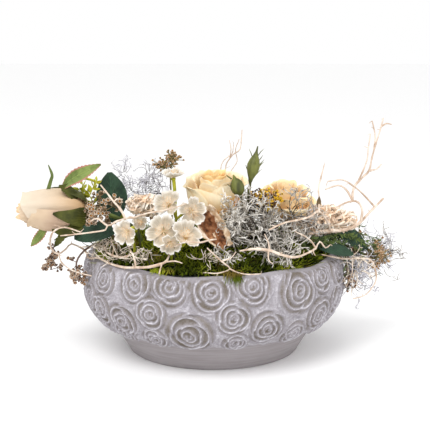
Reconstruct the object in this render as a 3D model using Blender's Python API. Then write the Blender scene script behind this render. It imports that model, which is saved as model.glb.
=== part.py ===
"""Sympathy rose bowl arrangement.

A round grey concrete bowl with rows of roses cast on its outside stands on a plain foot.
A film liner, a block of floral foam and a bed of moss fill it. Artificial roses, a rose bud,
cherry blossoms and leaves, bleached twigs, silver bush and dried sprays stand in the foam.

Lengths are metres, +Z is up, the foot is centred on the origin and the front faces -Y.
Routes and places are written in millimetres through at() and route().
"""

import math
import random

import bmesh
import bpy
from mathutils import Matrix, Vector
from mathutils.bvhtree import BVHTree

MM = 0.001
UP = Vector((0.0, 0.0, 1.0))
# Lengths under which places count as one, and by which an outline is told from its neighbour
TINY = 1e-6
SLACK = 1 * MM

# Bowl
BASE_RADIUS = 92 * MM
FOOT_RADIUS = 106.5 * MM
FOOT_HEIGHT = 26 * MM
LEDGE_HEIGHT = 27.5 * MM
BELLY_RADIUS = 138 * MM
BELLY_HEIGHT = 75 * MM
BODY_TOP = 104 * MM
RIM_OUTSIDE = 129.5 * MM
RIM_SHOULDER = 106.4 * MM
RIM_INSIDE = 125.5 * MM
RIM_HEIGHT = 107 * MM
RIM_WAVES = [(5, 1.2 * MM, 1.0), (11, 0.8 * MM, 0.0)]
WALL_THICKNESS = 12 * MM
MOUTH_RADIUS = 124 * MM
MOUTH_HEIGHT = 104 * MM
WALL_INSIDE = [(0.0, 10.0), (88.0, 10.0), (124.0, 58.0), (126.0, 90.0)]
COLUMNS = 84
RELIEF_BANDS = 8
RELIEF_HEIGHT = 3.5 * MM
# Cast roses seen on the front: degrees from the front, height and radius in millimetres
CAST_ROSES = [
    (-53.3, 93.4, 16.5), (-34.2, 94.6, 17.5), (-17.5, 97.4, 18.5), (-0.7, 92.8, 18.5), (16.4, 97.1, 17.5),
    (37.9, 87.7, 21.0), (53.0, 96.5, 17.5), (-56.5, 60.6, 16.0), (-42.4, 54.6, 17.5), (-26.4, 68.6, 16.5),
    (-10.2, 49.0, 23.0), (8.1, 67.5, 16.5), (22.9, 54.0, 17.5), (51.6, 57.1, 18.0), (-26.7, 40.9, 14.0),
    (38.2, 43.0, 14.5), (9.9, 40.4, 13.0),
]

# Filling
FILM_SIDES = 20
FILM_TOP = 105.3 * MM
FILM_OUTSIDE = 0.5 * MM
FILM_INSIDE = 1.2 * MM
FOAM_GAP = 1.8 * MM
FOAM_TOP = 98 * MM
MOSS_BOTTOM = 98.4 * MM
MOSS_RADIUS = 119.5 * MM
MOSS_RISE = 21 * MM
MOSS_BLANK = FOAM_TOP + 12 * MM
MOSS_RINGS = 5
STEM_FOOT = 74 * MM
STEM_STANDS = 4 * MM
# The stems' holes have four corners, so they are wider than the stems by this share
HOLE_SHARE = 1.4
HOLE_ABOVE = 30 * MM

# Free room kept between neighbouring pieces, and how it is looked for
CLEARANCE = 0.5 * MM
MOST_CROSSINGS = 64
PUSHES = 12
PROBE = 1.2 * MM

# Thicknesses
PETAL = 0.75 * MM
LEAF = 0.8 * MM

COLOURS = {
    "concrete": ((172, 166, 160), 0.85),
    "black_film": ((24, 25, 26), 0.35),
    "foam": ((52, 92, 60), 0.95),
    "moss": ((78, 108, 38), 0.95),
    "cream_petal": ((250, 232, 200), 0.6),
    "gold_petal": ((245, 212, 150), 0.6),
    "blossom": ((240, 234, 222), 0.6),
    "rose_green": ((96, 116, 54), 0.6),
    "bud_green": ((98, 118, 44), 0.6),
    "lime_stem": ((150, 152, 30), 0.6),
    "blue_green": ((44, 80, 60), 0.55),
    "silver": ((186, 186, 184), 0.8),
    "bleached": ((233, 213, 188), 0.75),
    "dried_spray": ((140, 108, 88), 0.85),
    "dry_leaf": ((132, 86, 52), 0.75),
    "shaving": ((216, 186, 150), 0.75),
    "yellow_filler": ((206, 168, 44), 0.75),
}

finished = []
stem_holes = []


def at(x, y, z):
    """A place given in millimetres."""
    return Vector((x, y, z)) * MM


def route(*places):
    """A run of places given in millimetres."""
    return [at(*place) for place in places]


def linear(value):
    """One 0-255 display colour channel as the linear value that a shader takes."""
    share = value / 255.0
    return share / 12.92 if share <= 0.04045 else ((share + 0.055) / 1.055) ** 2.4


def finish_of(name):
    """The Principled material of one finish, made once."""
    known = bpy.data.materials.get(name)
    if known:
        return known
    colour, roughness = COLOURS[name]
    made = bpy.data.materials.new(name)
    made.use_nodes = True
    shader = made.node_tree.nodes["Principled BSDF"]
    shader.inputs["Base Color"].default_value = [linear(channel) for channel in colour] + [1.0]
    shader.inputs["Roughness"].default_value = roughness
    shader.inputs["Metallic"].default_value = 0.0
    return made


def new_object(name, bm, collection):
    """An object in the collection whose mesh is taken from the bmesh."""
    mesh = bpy.data.meshes.new(name)
    bmesh.ops.recalc_face_normals(bm, faces=bm.faces)
    bm.to_mesh(mesh)
    bm.free()
    made = bpy.data.objects.new(name, mesh)
    collection.objects.link(made)
    return made


def keep_one_body(bm):
    """Keeps the largest connected body, which also fills sealed hollows and drops scraps."""
    left = set(bm.faces)
    bodies = []
    while left:
        body = {left.pop()}
        edge = list(body)
        while edge:
            face = edge.pop()
            for side in face.edges:
                for other in side.link_faces:
                    if other in left:
                        left.remove(other)
                        body.add(other)
                        edge.append(other)
        bodies.append(body)
    largest = max(bodies, key=lambda body: sum(face.calc_area() for face in body))
    scraps = [face for face in bm.faces if face not in largest]
    if scraps:
        bmesh.ops.delete(bm, geom=scraps, context="FACES")


def settle(node):
    """Notes a finished piece, so that later pieces keep clear of it."""
    bm = bmesh.new()
    bm.from_mesh(node.data)
    low = [min(vert.co[axis] for vert in bm.verts) for axis in range(3)]
    high = [max(vert.co[axis] for vert in bm.verts) for axis in range(3)]
    finished.append((BVHTree.FromBMesh(bm), low, high, node.name))
    bm.free()


def make_node(name, pieces, finish):
    """Joins closed bmeshes into one solid node by a Boolean union on a collection."""
    scene = bpy.context.scene
    node = new_object(name, pieces[0], scene.collection)
    if len(pieces) > 1:
        group = bpy.data.collections.new(name + "_pieces")
        scene.collection.children.link(group)
        for piece in pieces[1:]:
            new_object(name + "_piece", piece, group)
        union = node.modifiers.new("Union", "BOOLEAN")
        union.operation = "UNION"
        union.operand_type = "COLLECTION"
        union.collection = group
        union.solver = "MANIFOLD"
        apply_modifiers(node)
        for piece in list(group.objects):
            bpy.data.objects.remove(piece, do_unlink=True)
        bpy.data.collections.remove(group)
    bm = bmesh.new()
    bm.from_mesh(node.data)
    keep_one_body(bm)
    bmesh.ops.triangulate(bm, faces=bm.faces)
    bm.to_mesh(node.data)
    bm.free()
    node.data.materials.clear()
    node.data.materials.append(finish_of(finish))
    return node


def apply_modifiers(node):
    """Makes the evaluated mesh the object's own."""
    seen = node.evaluated_get(bpy.context.evaluated_depsgraph_get())
    mesh = bpy.data.meshes.new_from_object(seen)
    node.modifiers.clear()
    node.data = mesh


def smooth(node, degrees=50.0):
    """Shades a round piece smooth between its sharp edges."""
    node.data.shade_smooth()
    node.data.set_sharp_from_angle(angle=math.radians(degrees))


def holds(tree, point):
    """Whether the point is inside: an odd number of faces lies above it."""
    crossings = 0
    hit = tree.ray_cast(point, UP)[0]
    while hit is not None and crossings < MOST_CROSSINGS:
        crossings += 1
        hit = tree.ray_cast(hit + UP * TINY, UP)[0]
    return crossings % 2 == 1


def reached(point, reach, low, high):
    """Whether the point is within reach of the box."""
    return all(low[axis] - reach < point[axis] < high[axis] + reach for axis in range(3))


def is_free(point, reach):
    """Whether no finished piece comes within reach of the point."""
    for tree, low, high, _name in finished:
        if not reached(point, reach, low, high):
            continue
        if tree.find_nearest(point, reach)[0] is not None or holds(tree, point):
            return False
    return True


def run_is_free(points, radii):
    """Whether a tube through the points is clear of the finished pieces all along."""
    for (start, end), (thick, thin) in zip(zip(points, points[1:]), zip(radii, radii[1:])):
        steps = max(1, int((end - start).length / PROBE))
        for step in range(steps + 1):
            share = step / steps
            reach = thick + (thin - thick) * share + CLEARANCE
            if not is_free(start.lerp(end, share), reach):
                return False
    return True


def pushed_clear(point, reach):
    """The point, moved off the finished pieces until it has its reach free."""
    for _ in range(PUSHES):
        moved = False
        for tree, low, high, _name in finished:
            if not reached(point, reach, low, high):
                continue
            inside = holds(tree, point)
            near = tree.find_nearest(point, 1.0 if inside else reach)[0]
            if near is None:
                continue
            away = (near - point) if inside else (point - near)
            if away.length < TINY:
                away = UP.copy()
            point = near + away.normalized() * (reach * 1.05)
            moved = True
        if not moved:
            break
    return point


def blocked_place(start, end, reach):
    """The first place between two points of a run that is not free, if there is one."""
    steps = max(1, int((end - start).length / SLACK))
    for step in range(1, steps):
        place = start.lerp(end, step / steps)
        if not is_free(place, reach):
            return place
    return None


def bent_clear(points, radii, fixed=1):
    """Bends a run off the finished pieces, after its first fixed points, with more points there."""
    points = list(points)
    radii = list(radii)
    for index in range(fixed, len(points)):
        points[index] = pushed_clear(points[index], radii[index] * 1.25 + CLEARANCE)
    for _ in range(2):
        index = fixed
        while index < len(points):
            reach = radii[index] + CLEARANCE
            place = blocked_place(points[index - 1], points[index], reach)
            if place is not None and (points[index] - points[index - 1]).length > 3 * MM:
                points.insert(index, pushed_clear(place, reach * 1.3))
                radii.insert(index, radii[index])
                index += 1
            index += 1
    return points, radii


def curve_through(places, spacing):
    """A smooth run through the places, with a point about every spacing."""
    ends = [places[0] * 2 - places[1]] + list(places) + [places[-1] * 2 - places[-2]]
    run = [places[0].copy()]
    for before, start, end, after in zip(ends, ends[1:], ends[2:], ends[3:]):
        steps = max(1, round((end - start).length / spacing))
        for step in range(1, steps + 1):
            t = step / steps
            run.append(0.5 * (
                2 * start
                + (end - before) * t
                + (2 * before - 5 * start + 4 * end - after) * t * t
                + (3 * start - before - 3 * end + after) * t * t * t
            ))
    return run


def directions_of(points):
    """The direction of a run at each of its points."""
    found = []
    for index in range(len(points)):
        ahead = points[min(index + 1, len(points) - 1)]
        behind = points[max(index - 1, 0)]
        found.append((ahead - behind).normalized())
    return found


def tube(points, radii, sides=4):
    """A closed tapered tube, extruded ring by ring along the points."""
    bm = bmesh.new()
    along = directions_of(points)
    place = Matrix.Translation(points[0]) @ UP.rotation_difference(along[0]).to_matrix().to_4x4()
    bmesh.ops.create_circle(bm, cap_ends=False, radius=radii[0], segments=sides, matrix=place)
    hoop = bm.edges[:]
    for index in range(1, len(points)):
        grown = bmesh.ops.extrude_edge_only(bm, edges=hoop)["geom"]
        ring = [part for part in grown if isinstance(part, bmesh.types.BMVert)]
        hoop = [part for part in grown if isinstance(part, bmesh.types.BMEdge)]
        turn = along[index - 1].rotation_difference(along[index]).to_matrix().to_4x4()
        shrink = Matrix.Scale(radii[index] / radii[index - 1], 4)
        step = Matrix.Translation(points[index]) @ turn @ shrink @ Matrix.Translation(-points[index - 1])
        bmesh.ops.transform(bm, matrix=step, verts=ring)
    bmesh.ops.holes_fill(bm, edges=bm.edges, sides=sides)
    return bm


def tapered(points, thick, thin):
    """A radius for each point of a run, from thick to thin."""
    last = len(points) - 1
    return [thick + (thin - thick) * index / last for index in range(last + 1)]


def turned(profile, sides):
    """A solid turned round +Z from a closed half outline of (radius, height) points."""
    bm = bmesh.new()
    verts = [bm.verts.new((radius, 0.0, height)) for radius, height in profile]
    edges = [bm.edges.new(pair) for pair in zip(verts, verts[1:])]
    bmesh.ops.spin(
        bm, geom=verts + edges, cent=(0, 0, 0), axis=(0, 0, 1),
        angle=math.tau, steps=sides, use_merge=True,
    )
    bmesh.ops.remove_doubles(bm, verts=bm.verts, dist=TINY)
    return bm


def placed(bm, matrix):
    """The bmesh moved and turned by the matrix."""
    bmesh.ops.transform(bm, matrix=matrix, verts=bm.verts)
    return bm


def frame_along(origin, direction, roll=0.0):
    """A frame at the origin with +Z along the direction, rolled round it."""
    turn = UP.rotation_difference(Vector(direction).normalized()).to_matrix().to_4x4()
    return Matrix.Translation(origin) @ turn @ Matrix.Rotation(roll, 4, "Z")


def sheet(shape, across, along, thickness):
    """A thin closed blade: a grid laid by shape(s, t), triangulated and given its thickness."""
    bm = bmesh.new()
    bmesh.ops.create_grid(bm, x_segments=across, y_segments=along, size=1.0)
    for vert in bm.verts:
        vert.co = shape(vert.co.x, (vert.co.y + 1.0) / 2.0)
    bmesh.ops.triangulate(bm, faces=bm.faces, quad_method="FIXED")
    bmesh.ops.solidify(bm, geom=bm.faces[:], thickness=thickness)
    return bm


# Bowl


def body_radius(height):
    """The bowl's outer radius above the foot: an arc below the belly and one above it."""
    rise = height - BELLY_HEIGHT
    drop, reach = (50 * MM, 52 * MM) if rise < 0 else (25 * MM, 45 * MM)
    return BELLY_RADIUS - drop * (1.0 - math.sqrt(1.0 - (rise / reach) ** 2))


def cast_rose_places():
    """The roses seen on the front, and like rows of them round the rest of the bowl."""
    draw = random.Random(5)
    places = list(CAST_ROSES)
    for index in range(14):
        places.append((71.0 + 16.75 * index, 94.0 + draw.uniform(-3, 3), draw.uniform(16.5, 19.5)))
    for index in range(15):
        height = (66.0, 53.0)[index % 2]
        places.append((67.0 + 16.2 * index, height + draw.uniform(-2, 2), draw.uniform(16.5, 20.0)))
    for index in range(16):
        places.append((60.0 + 17.0 * index, 39.5 + draw.uniform(-1.5, 2), draw.uniform(13.0, 14.5)))
    return places


def relief(angle, height, roses):
    """How far the cast roses stand out: a cushion with a raised heart for each rose."""
    best = 0.0
    for degrees, centre, size in roses:
        turn = (angle + math.pi / 2 - math.radians(degrees) + math.pi) % math.tau - math.pi
        off = math.hypot(turn * BELLY_RADIUS, height - centre * MM) / (size * MM)
        if off < 1.0:
            best = max(best, (1.0 - off * off) ** 0.6)
    return RELIEF_HEIGHT * best


def is_plain(place):
    """Whether a vertex of the bowl lies round the edge of its base or on its inner wall."""
    if place.z < LEDGE_HEIGHT:
        return place.z < FOOT_HEIGHT - SLACK
    return place.xy.length < body_radius(place.z) - WALL_THICKNESS / 2


def halve_columns(bm, verts, columns):
    """Draws every second column of the verts onto the one before it, where no detail is needed."""
    pitch = math.tau / columns
    for vert in verts:
        radius = math.hypot(vert.co.x, vert.co.y)
        column = round(math.atan2(vert.co.y, vert.co.x) / pitch)
        angle = (column - column % 2) * pitch
        vert.co.x = radius * math.cos(angle)
        vert.co.y = radius * math.sin(angle)
    bmesh.ops.remove_doubles(bm, verts=bm.verts, dist=TINY)


def make_bowl():
    """The concrete bowl: plain foot, belly of cast roses, wavering rim and plain inner wall."""
    outline = [(0.0, 0.0), (BASE_RADIUS, 0.0), (FOOT_RADIUS, FOOT_HEIGHT)]
    for band in range(RELIEF_BANDS + 1):
        height = LEDGE_HEIGHT + (BODY_TOP - LEDGE_HEIGHT) * band / RELIEF_BANDS
        outline.append((body_radius(height), height))
    outline.append((RIM_OUTSIDE, RIM_SHOULDER))
    outline.append((RIM_INSIDE, RIM_HEIGHT))
    outline.append((MOUTH_RADIUS, MOUTH_HEIGHT))
    for radius, height in reversed(WALL_INSIDE):
        outline.append((radius * MM, height * MM))
    bm = turned(outline, COLUMNS)
    roses = cast_rose_places()
    halve_columns(bm, [vert for vert in bm.verts if is_plain(vert.co)], COLUMNS)
    for vert in bm.verts:
        radius = math.hypot(vert.co.x, vert.co.y)
        angle = math.atan2(vert.co.y, vert.co.x)
        if radius > body_radius(BODY_TOP) - WALL_THICKNESS and vert.co.z > BODY_TOP - SLACK:
            vert.co.z += sum(rise * math.sin(waves * angle + start) for waves, rise, start in RIM_WAVES)
        elif LEDGE_HEIGHT - SLACK < vert.co.z and radius > body_radius(vert.co.z) - SLACK:
            wider = 1.0 + relief(angle, vert.co.z, roses) / radius
            vert.co.x *= wider
            vert.co.y *= wider
    bowl = make_node("bowl", [bm], "concrete")
    smooth(bowl, 40.0)
    settle(bowl)


# Filling


def inside_by(gap):
    """The bowl's inner outline, moved in by the gap."""
    moved = [(0.0, WALL_INSIDE[0][1] * MM + gap)]
    for radius, height in WALL_INSIDE[1:]:
        moved.append((radius * MM - gap, height * MM + gap))
    return moved


def make_film():
    """The black film that keeps the wet foam off the concrete."""
    outside = inside_by(FILM_OUTSIDE) + [(MOUTH_RADIUS - 1.4 * MM, FILM_TOP)]
    inside = inside_by(FILM_INSIDE) + [(MOUTH_RADIUS - 2.1 * MM, FILM_TOP)]
    film = make_node("film_liner", [turned(outside + inside[::-1], FILM_SIDES)], "black_film")
    smooth(film)
    settle(film)


def make_foam():
    """The block of floral foam that the stems stand in."""
    outline = inside_by(FOAM_GAP) + [(MOUTH_RADIUS - 4 * MM, FOAM_TOP), (0.0, FOAM_TOP)]
    return make_node("floral_foam", [turned(outline, FILM_SIDES)], "foam")


def moss_height(x, y):
    """The top of the moss: a low dome with soft lumps."""
    share = min(1.0, math.hypot(x, y) / MOSS_RADIUS)
    lumps = 2.2 * math.sin(x / MM * 0.09 + 1.3) * math.sin(y / MM * 0.11 + 0.4)
    lumps += 1.5 * math.sin(x / MM * 0.19 + y / MM * 0.07) * math.cos(y / MM * 0.17)
    return MOSS_BOTTOM + 5.5 * MM + MOSS_RISE * (1.0 - share ** 2.4) + lumps * MM * (1.1 - share)


def make_moss():
    """The bed of moss, laid flat and then raised to its lumpy top."""
    outline = [(0.0, MOSS_BOTTOM), (MOSS_RADIUS - 2 * MM, MOSS_BOTTOM), (MOSS_RADIUS, MOSS_BOTTOM + 4 * MM)]
    for ring in range(MOSS_RINGS + 1):
        outline.append((MOSS_RADIUS * (1.0 - ring / MOSS_RINGS), MOSS_BLANK))
    bm = turned(outline, 24)
    for vert in bm.verts:
        if vert.co.z > MOSS_BLANK - SLACK:
            vert.co.z = moss_height(vert.co.x, vert.co.y)
    return make_node("moss_bed", [bm], "moss")


def planted(x, y, radius, places, spacing):
    """A run from the foam at (x, y) mm, straight up through the moss and on through the places."""
    stem_holes.append((x * MM, y * MM, radius))
    top = Vector((x * MM, y * MM, moss_height(x * MM, y * MM) + STEM_STANDS))
    return [Vector((x * MM, y * MM, STEM_FOOT))] + curve_through([top] + places, spacing)


def cut_holes(node):
    """Cuts the plain holes that the stems stand in."""
    group = bpy.data.collections.new(node.name + "_holes")
    bpy.context.scene.collection.children.link(group)
    for x, y, radius in stem_holes:
        hole = bmesh.new()
        low = STEM_FOOT - CLEARANCE
        high = moss_height(x, y) + HOLE_ABOVE
        wide = radius * HOLE_SHARE + CLEARANCE
        bmesh.ops.create_cone(
            hole, cap_ends=True, segments=4, depth=high - low, radius1=wide, radius2=wide,
            matrix=Matrix.Translation((x, y, (low + high) / 2)),
        )
        new_object(node.name + "_hole", hole, group)
    cut = node.modifiers.new("Holes", "BOOLEAN")
    cut.operation = "DIFFERENCE"
    cut.operand_type = "COLLECTION"
    cut.collection = group
    cut.solver = "MANIFOLD"
    apply_modifiers(node)
    for hole in list(group.objects):
        bpy.data.objects.remove(hole, do_unlink=True)
    bpy.data.collections.remove(group)


# Roses


def petal(frame, sizes, middle, across, along):
    """One cupped petal of a layer, standing round the frame's axis at the middle angle."""
    foot, bulge, lip, lift, rise, half, curl, shift = sizes

    def shape(s, t):
        width = half * (0.55 + 0.45 * math.sin(math.pi * min(t * 0.95, 0.62)))
        angle = middle + s * width
        radius = foot + (bulge - foot) * math.sin(math.pi / 2 * min(1.0, t * 1.9)) ** 0.8
        radius += (lip - bulge) * max(0.0, t - 0.4) / 0.6
        radius += shift * s * min(1.0, 0.45 + t * 1.6) + curl * max(0.0, t - 0.7) * 3.3 * (0.7 + 0.3 * s * s)
        height = lift + (rise - lift) * (t - 0.30 * curl / (abs(curl) + 3 * MM) * max(0.0, t - 0.7))
        height -= rise * 0.16 * abs(s) ** 2.5 * t ** 3
        return frame @ Vector((radius * math.cos(angle), radius * math.sin(angle), height))

    return sheet(shape, across, along, PETAL)


def bloom(frame, layers, heart):
    """The closed pieces of one bloom: layered petals that root in a small heart."""
    pieces = [placed(turned(heart, 6), frame)]
    for count, start, across, along, sizes in layers:
        for index in range(count):
            middle = start + math.tau * index / count
            pieces.append(petal(frame, sizes, middle, across, along))
    return pieces


def heart_outline(radius, height):
    """The heart that a bloom's petals root in, pointed at both ends."""
    return [(0.0, -0.2 * height), (radius, 0.06 * height), (0.0, height)]


def layer(foot, bulge, lip, lift, rise, half_degrees, curl, shift):
    """One layer of petals, in millimetres and degrees."""
    sizes = [size * MM for size in (foot, bulge, lip, lift, rise)]
    return (*sizes, math.radians(half_degrees), curl * MM, shift * MM)


def make_open_rose():
    """The large open rose and its stem."""
    base = at(0, -36, 148)
    frame = frame_along(base, (-0.03, -0.16, 1.0), 0.5)
    layers = [
        (5, 0.0, 4, 3, layer(6.0, 25.0, 28.0, 0.5, 39, 42, 4.0, 1.3)),
        (4, 0.7, 4, 3, layer(5.6, 20.5, 22.5, 4.0, 47, 51, 2.0, 1.3)),
        (3, 0.2, 4, 3, layer(5.2, 16.0, 17.5, 7.5, 50, 66, 1.0, 1.3)),
        (3, 0.9, 3, 2, layer(4.2, 9.5, 10.0, 11.0, 51, 70, 0.5, 0.9)),
    ]
    rose = make_node("rose_open_bloom", bloom(frame, layers, heart_outline(9.5 * MM, 26 * MM)), "cream_petal")
    smooth(rose)
    settle(rose)
    run = planted(2, -30, 2.6 * MM, [at(1.5, -33, 133), at(0.2, -35.1, 142.5)], 20 * MM)
    stem = make_node("rose_open_stem", [tube(run, [2.6 * MM] * len(run), 6)], "rose_green")
    smooth(stem)
    settle(stem)


def make_second_rose():
    """The smaller rose behind the silver bush, and its stem."""
    base = at(72, -12, 145)
    frame = frame_along(base, (0.08, -0.2, 1.0), 1.1)
    layers = [
        (4, 0.0, 3, 3, layer(5.5, 22.5, 26.5, 0.5, 33, 52, 4.0, 1.3)),
        (3, 0.6, 4, 3, layer(5.0, 17.0, 19.5, 4.0, 38, 66, 2.0, 1.3)),
        (2, 0.2, 3, 2, layer(4.0, 9.5, 11.0, 8.0, 40, 84, 1.0, 0.9)),
    ]
    rose = make_node("rose_second_bloom", bloom(frame, layers, heart_outline(9 * MM, 22 * MM)), "gold_petal")
    smooth(rose)
    settle(rose)
    run = planted(71, -6, 2.4 * MM, [at(71.4, -8.0, 132), at(71.8, -11.0, 140.3)], 20 * MM)
    stem = make_node("rose_second_stem", [tube(run, [2.4 * MM] * len(run), 5)], "rose_green")
    settle(stem)


BUD_BASE = at(-131, -50, 157)
BUD_TIP = at(-200, -58, 160)
BUD_LENGTH = (BUD_TIP - BUD_BASE).length


def bud_frame():
    return frame_along(BUD_BASE, BUD_TIP - BUD_BASE, 0.4)


def bud_radius(t):
    """The bud's girth along its length: full at a third, drawn in at its open end."""
    return 22.5 * MM * math.sin(math.pi * (0.12 + 0.66 * min(1.0, max(0.0, t)) ** 0.82)) ** 0.9


def make_bud():
    """The lying rose bud: four wrapped petals round a closed heart."""
    frame = bud_frame()
    rings = [(0.0, -1.0 * MM)]
    for share, inset in ((0.0, 0.4), (0.12, 0.2), (0.2, 5.6), (0.5, 5.8), (0.78, 6.0)):
        rings.append((bud_radius(share) - inset * MM, share * BUD_LENGTH))
    rings.append((0.0, 0.86 * BUD_LENGTH))
    pieces = [placed(turned(rings, 10), frame)]
    petals = 4
    for index in range(petals):
        middle = math.tau * index / petals

        def shape(s, t):
            girth = bud_radius(t) - 3.4 * MM + 2.6 * MM * (s + 1.0) / 2 * min(1.0, 0.35 + t)
            girth += 1.6 * MM * max(0.0, t - 0.8) * 5
            angle = middle + s * math.radians(62) * (1.0 - 0.4 * max(0.0, t - 0.5))
            share = 0.06 + 0.94 * t
            height = BUD_LENGTH * (share * (0.97 + 0.03 * math.cos(2.4 * index)) - 0.08 * s * s * t ** 3)
            return frame @ Vector((girth * math.cos(angle), girth * math.sin(angle), height))

        pieces.append(sheet(shape, 4, 4, 1.0 * MM))
    bud = make_node("rose_bud_bloom", pieces, "cream_petal")
    smooth(bud)
    settle(bud)


# Leaves


# Leaf blades: how far their halves fold up, where they are widest and how deep their teeth are
FOLD = 0.12
FULLEST = 0.45
BITE = 0.10


def leaf_blade(places, width, normal, teeth=0, along=6):
    """A leaf along the smooth run of its midrib, with its two halves folded up."""
    rib = curve_through(places, (places[-1] - places[0]).length / along / 1.5)
    ways = directions_of(rib)

    def shape(s, t):
        place = t * (len(rib) - 1)
        index = min(int(place), len(rib) - 2)
        spot = rib[index].lerp(rib[index + 1], place - index)
        way = ways[index]
        side = way.cross(Vector(normal)).normalized()
        face = side.cross(way).normalized()
        swell = math.sin(math.pi * (0.04 + 0.92 * t ** (math.log(0.5) / math.log(FULLEST))))
        half = width / 2 * max(0.05, swell) ** 0.75
        if teeth and abs(s) > 0.9:
            half *= 1.0 + BITE * math.cos(math.pi * teeth * round(t * along))
        return spot + side * (s * half) + face * (FOLD * half * (abs(s) - 0.4))

    return sheet(shape, 2, along, LEAF)


def make_bud_greenery():
    """The bud's calyx, its sepals and leaves and the stem that holds it."""
    frame = bud_frame()
    cup = [(0.0, -14 * MM), (2.6 * MM, -14 * MM), (5.5 * MM, -8 * MM), (6.5 * MM, -3.2 * MM), (0.0, -2.4 * MM)]
    pieces = [placed(turned(cup, 8), frame)]
    for index, reach in enumerate((0.52, 0.40, 0.46, 0.38, 0.44)):
        middle = math.tau * index / 5 + 1.02

        def shape(s, t):
            share = t * reach - 0.07
            girth = max(4.5 * MM, bud_radius(share) + 1.4 * MM)
            if share < 0.02:
                girth = min(girth, (4.5 + 90 * max(0.0, share + 0.07)) * MM + 1.0 * MM)
            wide = 0.52 * math.sin(math.pi * (0.22 + 0.75 * t)) + 0.04
            angle = middle + s * wide * 12.5 * MM / max(girth, 8 * MM)
            height = share * BUD_LENGTH if share > 0.02 else share * BUD_LENGTH - 1.2 * MM
            return frame @ Vector((girth * math.cos(angle), girth * math.sin(angle), height))

        pieces.append(sheet(shape, 2, 4, LEAF))
    bend = route((-84, -32, 136), (-98, -40, 147), (-110, -46, 153))
    bend.append(frame @ Vector((0.0, 0.0, -10 * MM)))
    run = planted(-76, -28, 2.4 * MM, bend, 18 * MM)
    pieces.append(tube(run, [2.4 * MM] * len(run), 5))
    rib = route((-112, -47, 154), (-120, -52, 176), (-134, -60, 193), (-158, -66, 186))
    pieces.append(leaf_blade(rib, 17 * MM, (0.2, -1.0, 0.5), teeth=1, along=8))
    node = make_node("rose_bud_greenery", pieces, "rose_green")
    smooth(node)
    settle(node)


def green_bud(tip, shoulder, base, swell):
    """A tight green rose bud with the points of its sepals closed."""
    axis = tip - base
    length = axis.length
    full = (shoulder - base).length / length
    outline = [(0.0, 0.0), (0.5 * swell, full * 0.4 * length), (swell, full * length)]
    outline += [(0.72 * swell, (full + 0.22) * length), (0.16 * swell, (full + 0.42) * length), (0.0, length)]
    bm = turned(outline, 8)
    for vert in bm.verts:
        ridge = 1.0 + 0.08 * math.cos(4 * math.atan2(vert.co.y, vert.co.x))
        vert.co.x *= ridge
        vert.co.y *= ridge
    return placed(bm, frame_along(base, axis))


def make_green_buds():
    """Two tight green buds that share a forked stem."""
    swell = 6.5 * MM
    front_base = at(27, -74, 178)
    tall_base = at(37, -68, 190)
    pieces = [green_bud(at(20, -80, 199), at(24.3, -76.5, 187), front_base, swell)]
    pieces.append(green_bud(at(44, -68, 224), at(40, -68, 206), tall_base, swell))
    run = planted(34, -58, 1.4 * MM, [at(35, -64, 160), tall_base + at(0.3, 0, 1.5)], 18 * MM)
    run, radii = bent_clear(run, [1.4 * MM] * len(run), fixed=2)
    pieces.append(tube(run, radii))
    fork = min(run, key=lambda point: abs(point.z - 158 * MM))
    pieces.append(tube([fork, front_base + at(-0.3, -0.2, 1.5)], [1.2 * MM, 1.2 * MM]))
    node = make_node("green_rose_buds", pieces, "bud_green")
    smooth(node)
    settle(node)


def make_leaf_sprig(name, foot_xy, trunk, leaves):
    """A woody stem from the foam that forks to its leaves, each with a raised midrib."""
    run = planted(*foot_xy, 1.6 * MM, route(*trunk), 12 * MM)
    pieces = [tube(run, [1.6 * MM] * len(run))]
    for places, width, normal, along in leaves:
        rib = route(*places)
        stalk = [run[-1], rib[0], rib[0].lerp(rib[1], 0.6)]
        pieces.append(tube(stalk, [1.3 * MM, 1.1 * MM, 0.6 * MM]))
        pieces.append(leaf_blade(rib, width * MM, normal, along=along))
    node = make_node(name, pieces, "blue_green")
    smooth(node)
    settle(node)


def make_leaf_sprigs():
    make_leaf_sprig(
        "leaf_sprig_left", (-92, -8), [(-97, -20, 132)],
        [([(-105, -27, 138), (-107, -24, 165), (-109, -20, 193)], 34, (0.25, -1.0, 0.1), 6),
         ([(-98, -64, 139), (-120, -69, 139), (-142, -64, 132)], 20, (0.1, -0.9, 0.5), 6)],
    )
    make_leaf_sprig(
        "leaf_sprig_right", (106, -28), [(113, -29, 125)],
        [([(132, -26, 128), (148, -15, 121), (166, -5, 107)], 20, (0.3, -0.8, 0.6), 6),
         ([(110, -59, 119), (127, -54, 117), (146, -45, 111)], 14, (0.2, -0.7, 0.7), 5)],
    )


# Cherry blossoms


BLOSSOMS = [
    ("blossom_far_left", (-85, -101, 146), (-0.45, -1.0, -0.15), 13.5),
    ("blossom_front", (-50, -97, 152), (0.05, -1.0, 0.25), 16.0),
    ("blossom_upper", (-26, -86, 166), (0.15, -1.0, 0.1), 14.0),
    ("blossom_low", (-22, -108, 143), (0.1, -1.0, 0.35), 15.0),
    ("blossom_back", (-46, -70, 171), (-0.3, -0.8, 0.6), 14.0),
    ("blossom_top", (-40, -52, 193), (-0.15, -0.25, 1.0), 13.5),
    ("blossom_small", (-73, -78, 151), (-0.2, -1.0, 0.3), 8.5),
    ("blossom_lowest", (-46, -115, 134), (-0.2, -1.0, -0.5), 12.0),
]
CUP = 0.28


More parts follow.
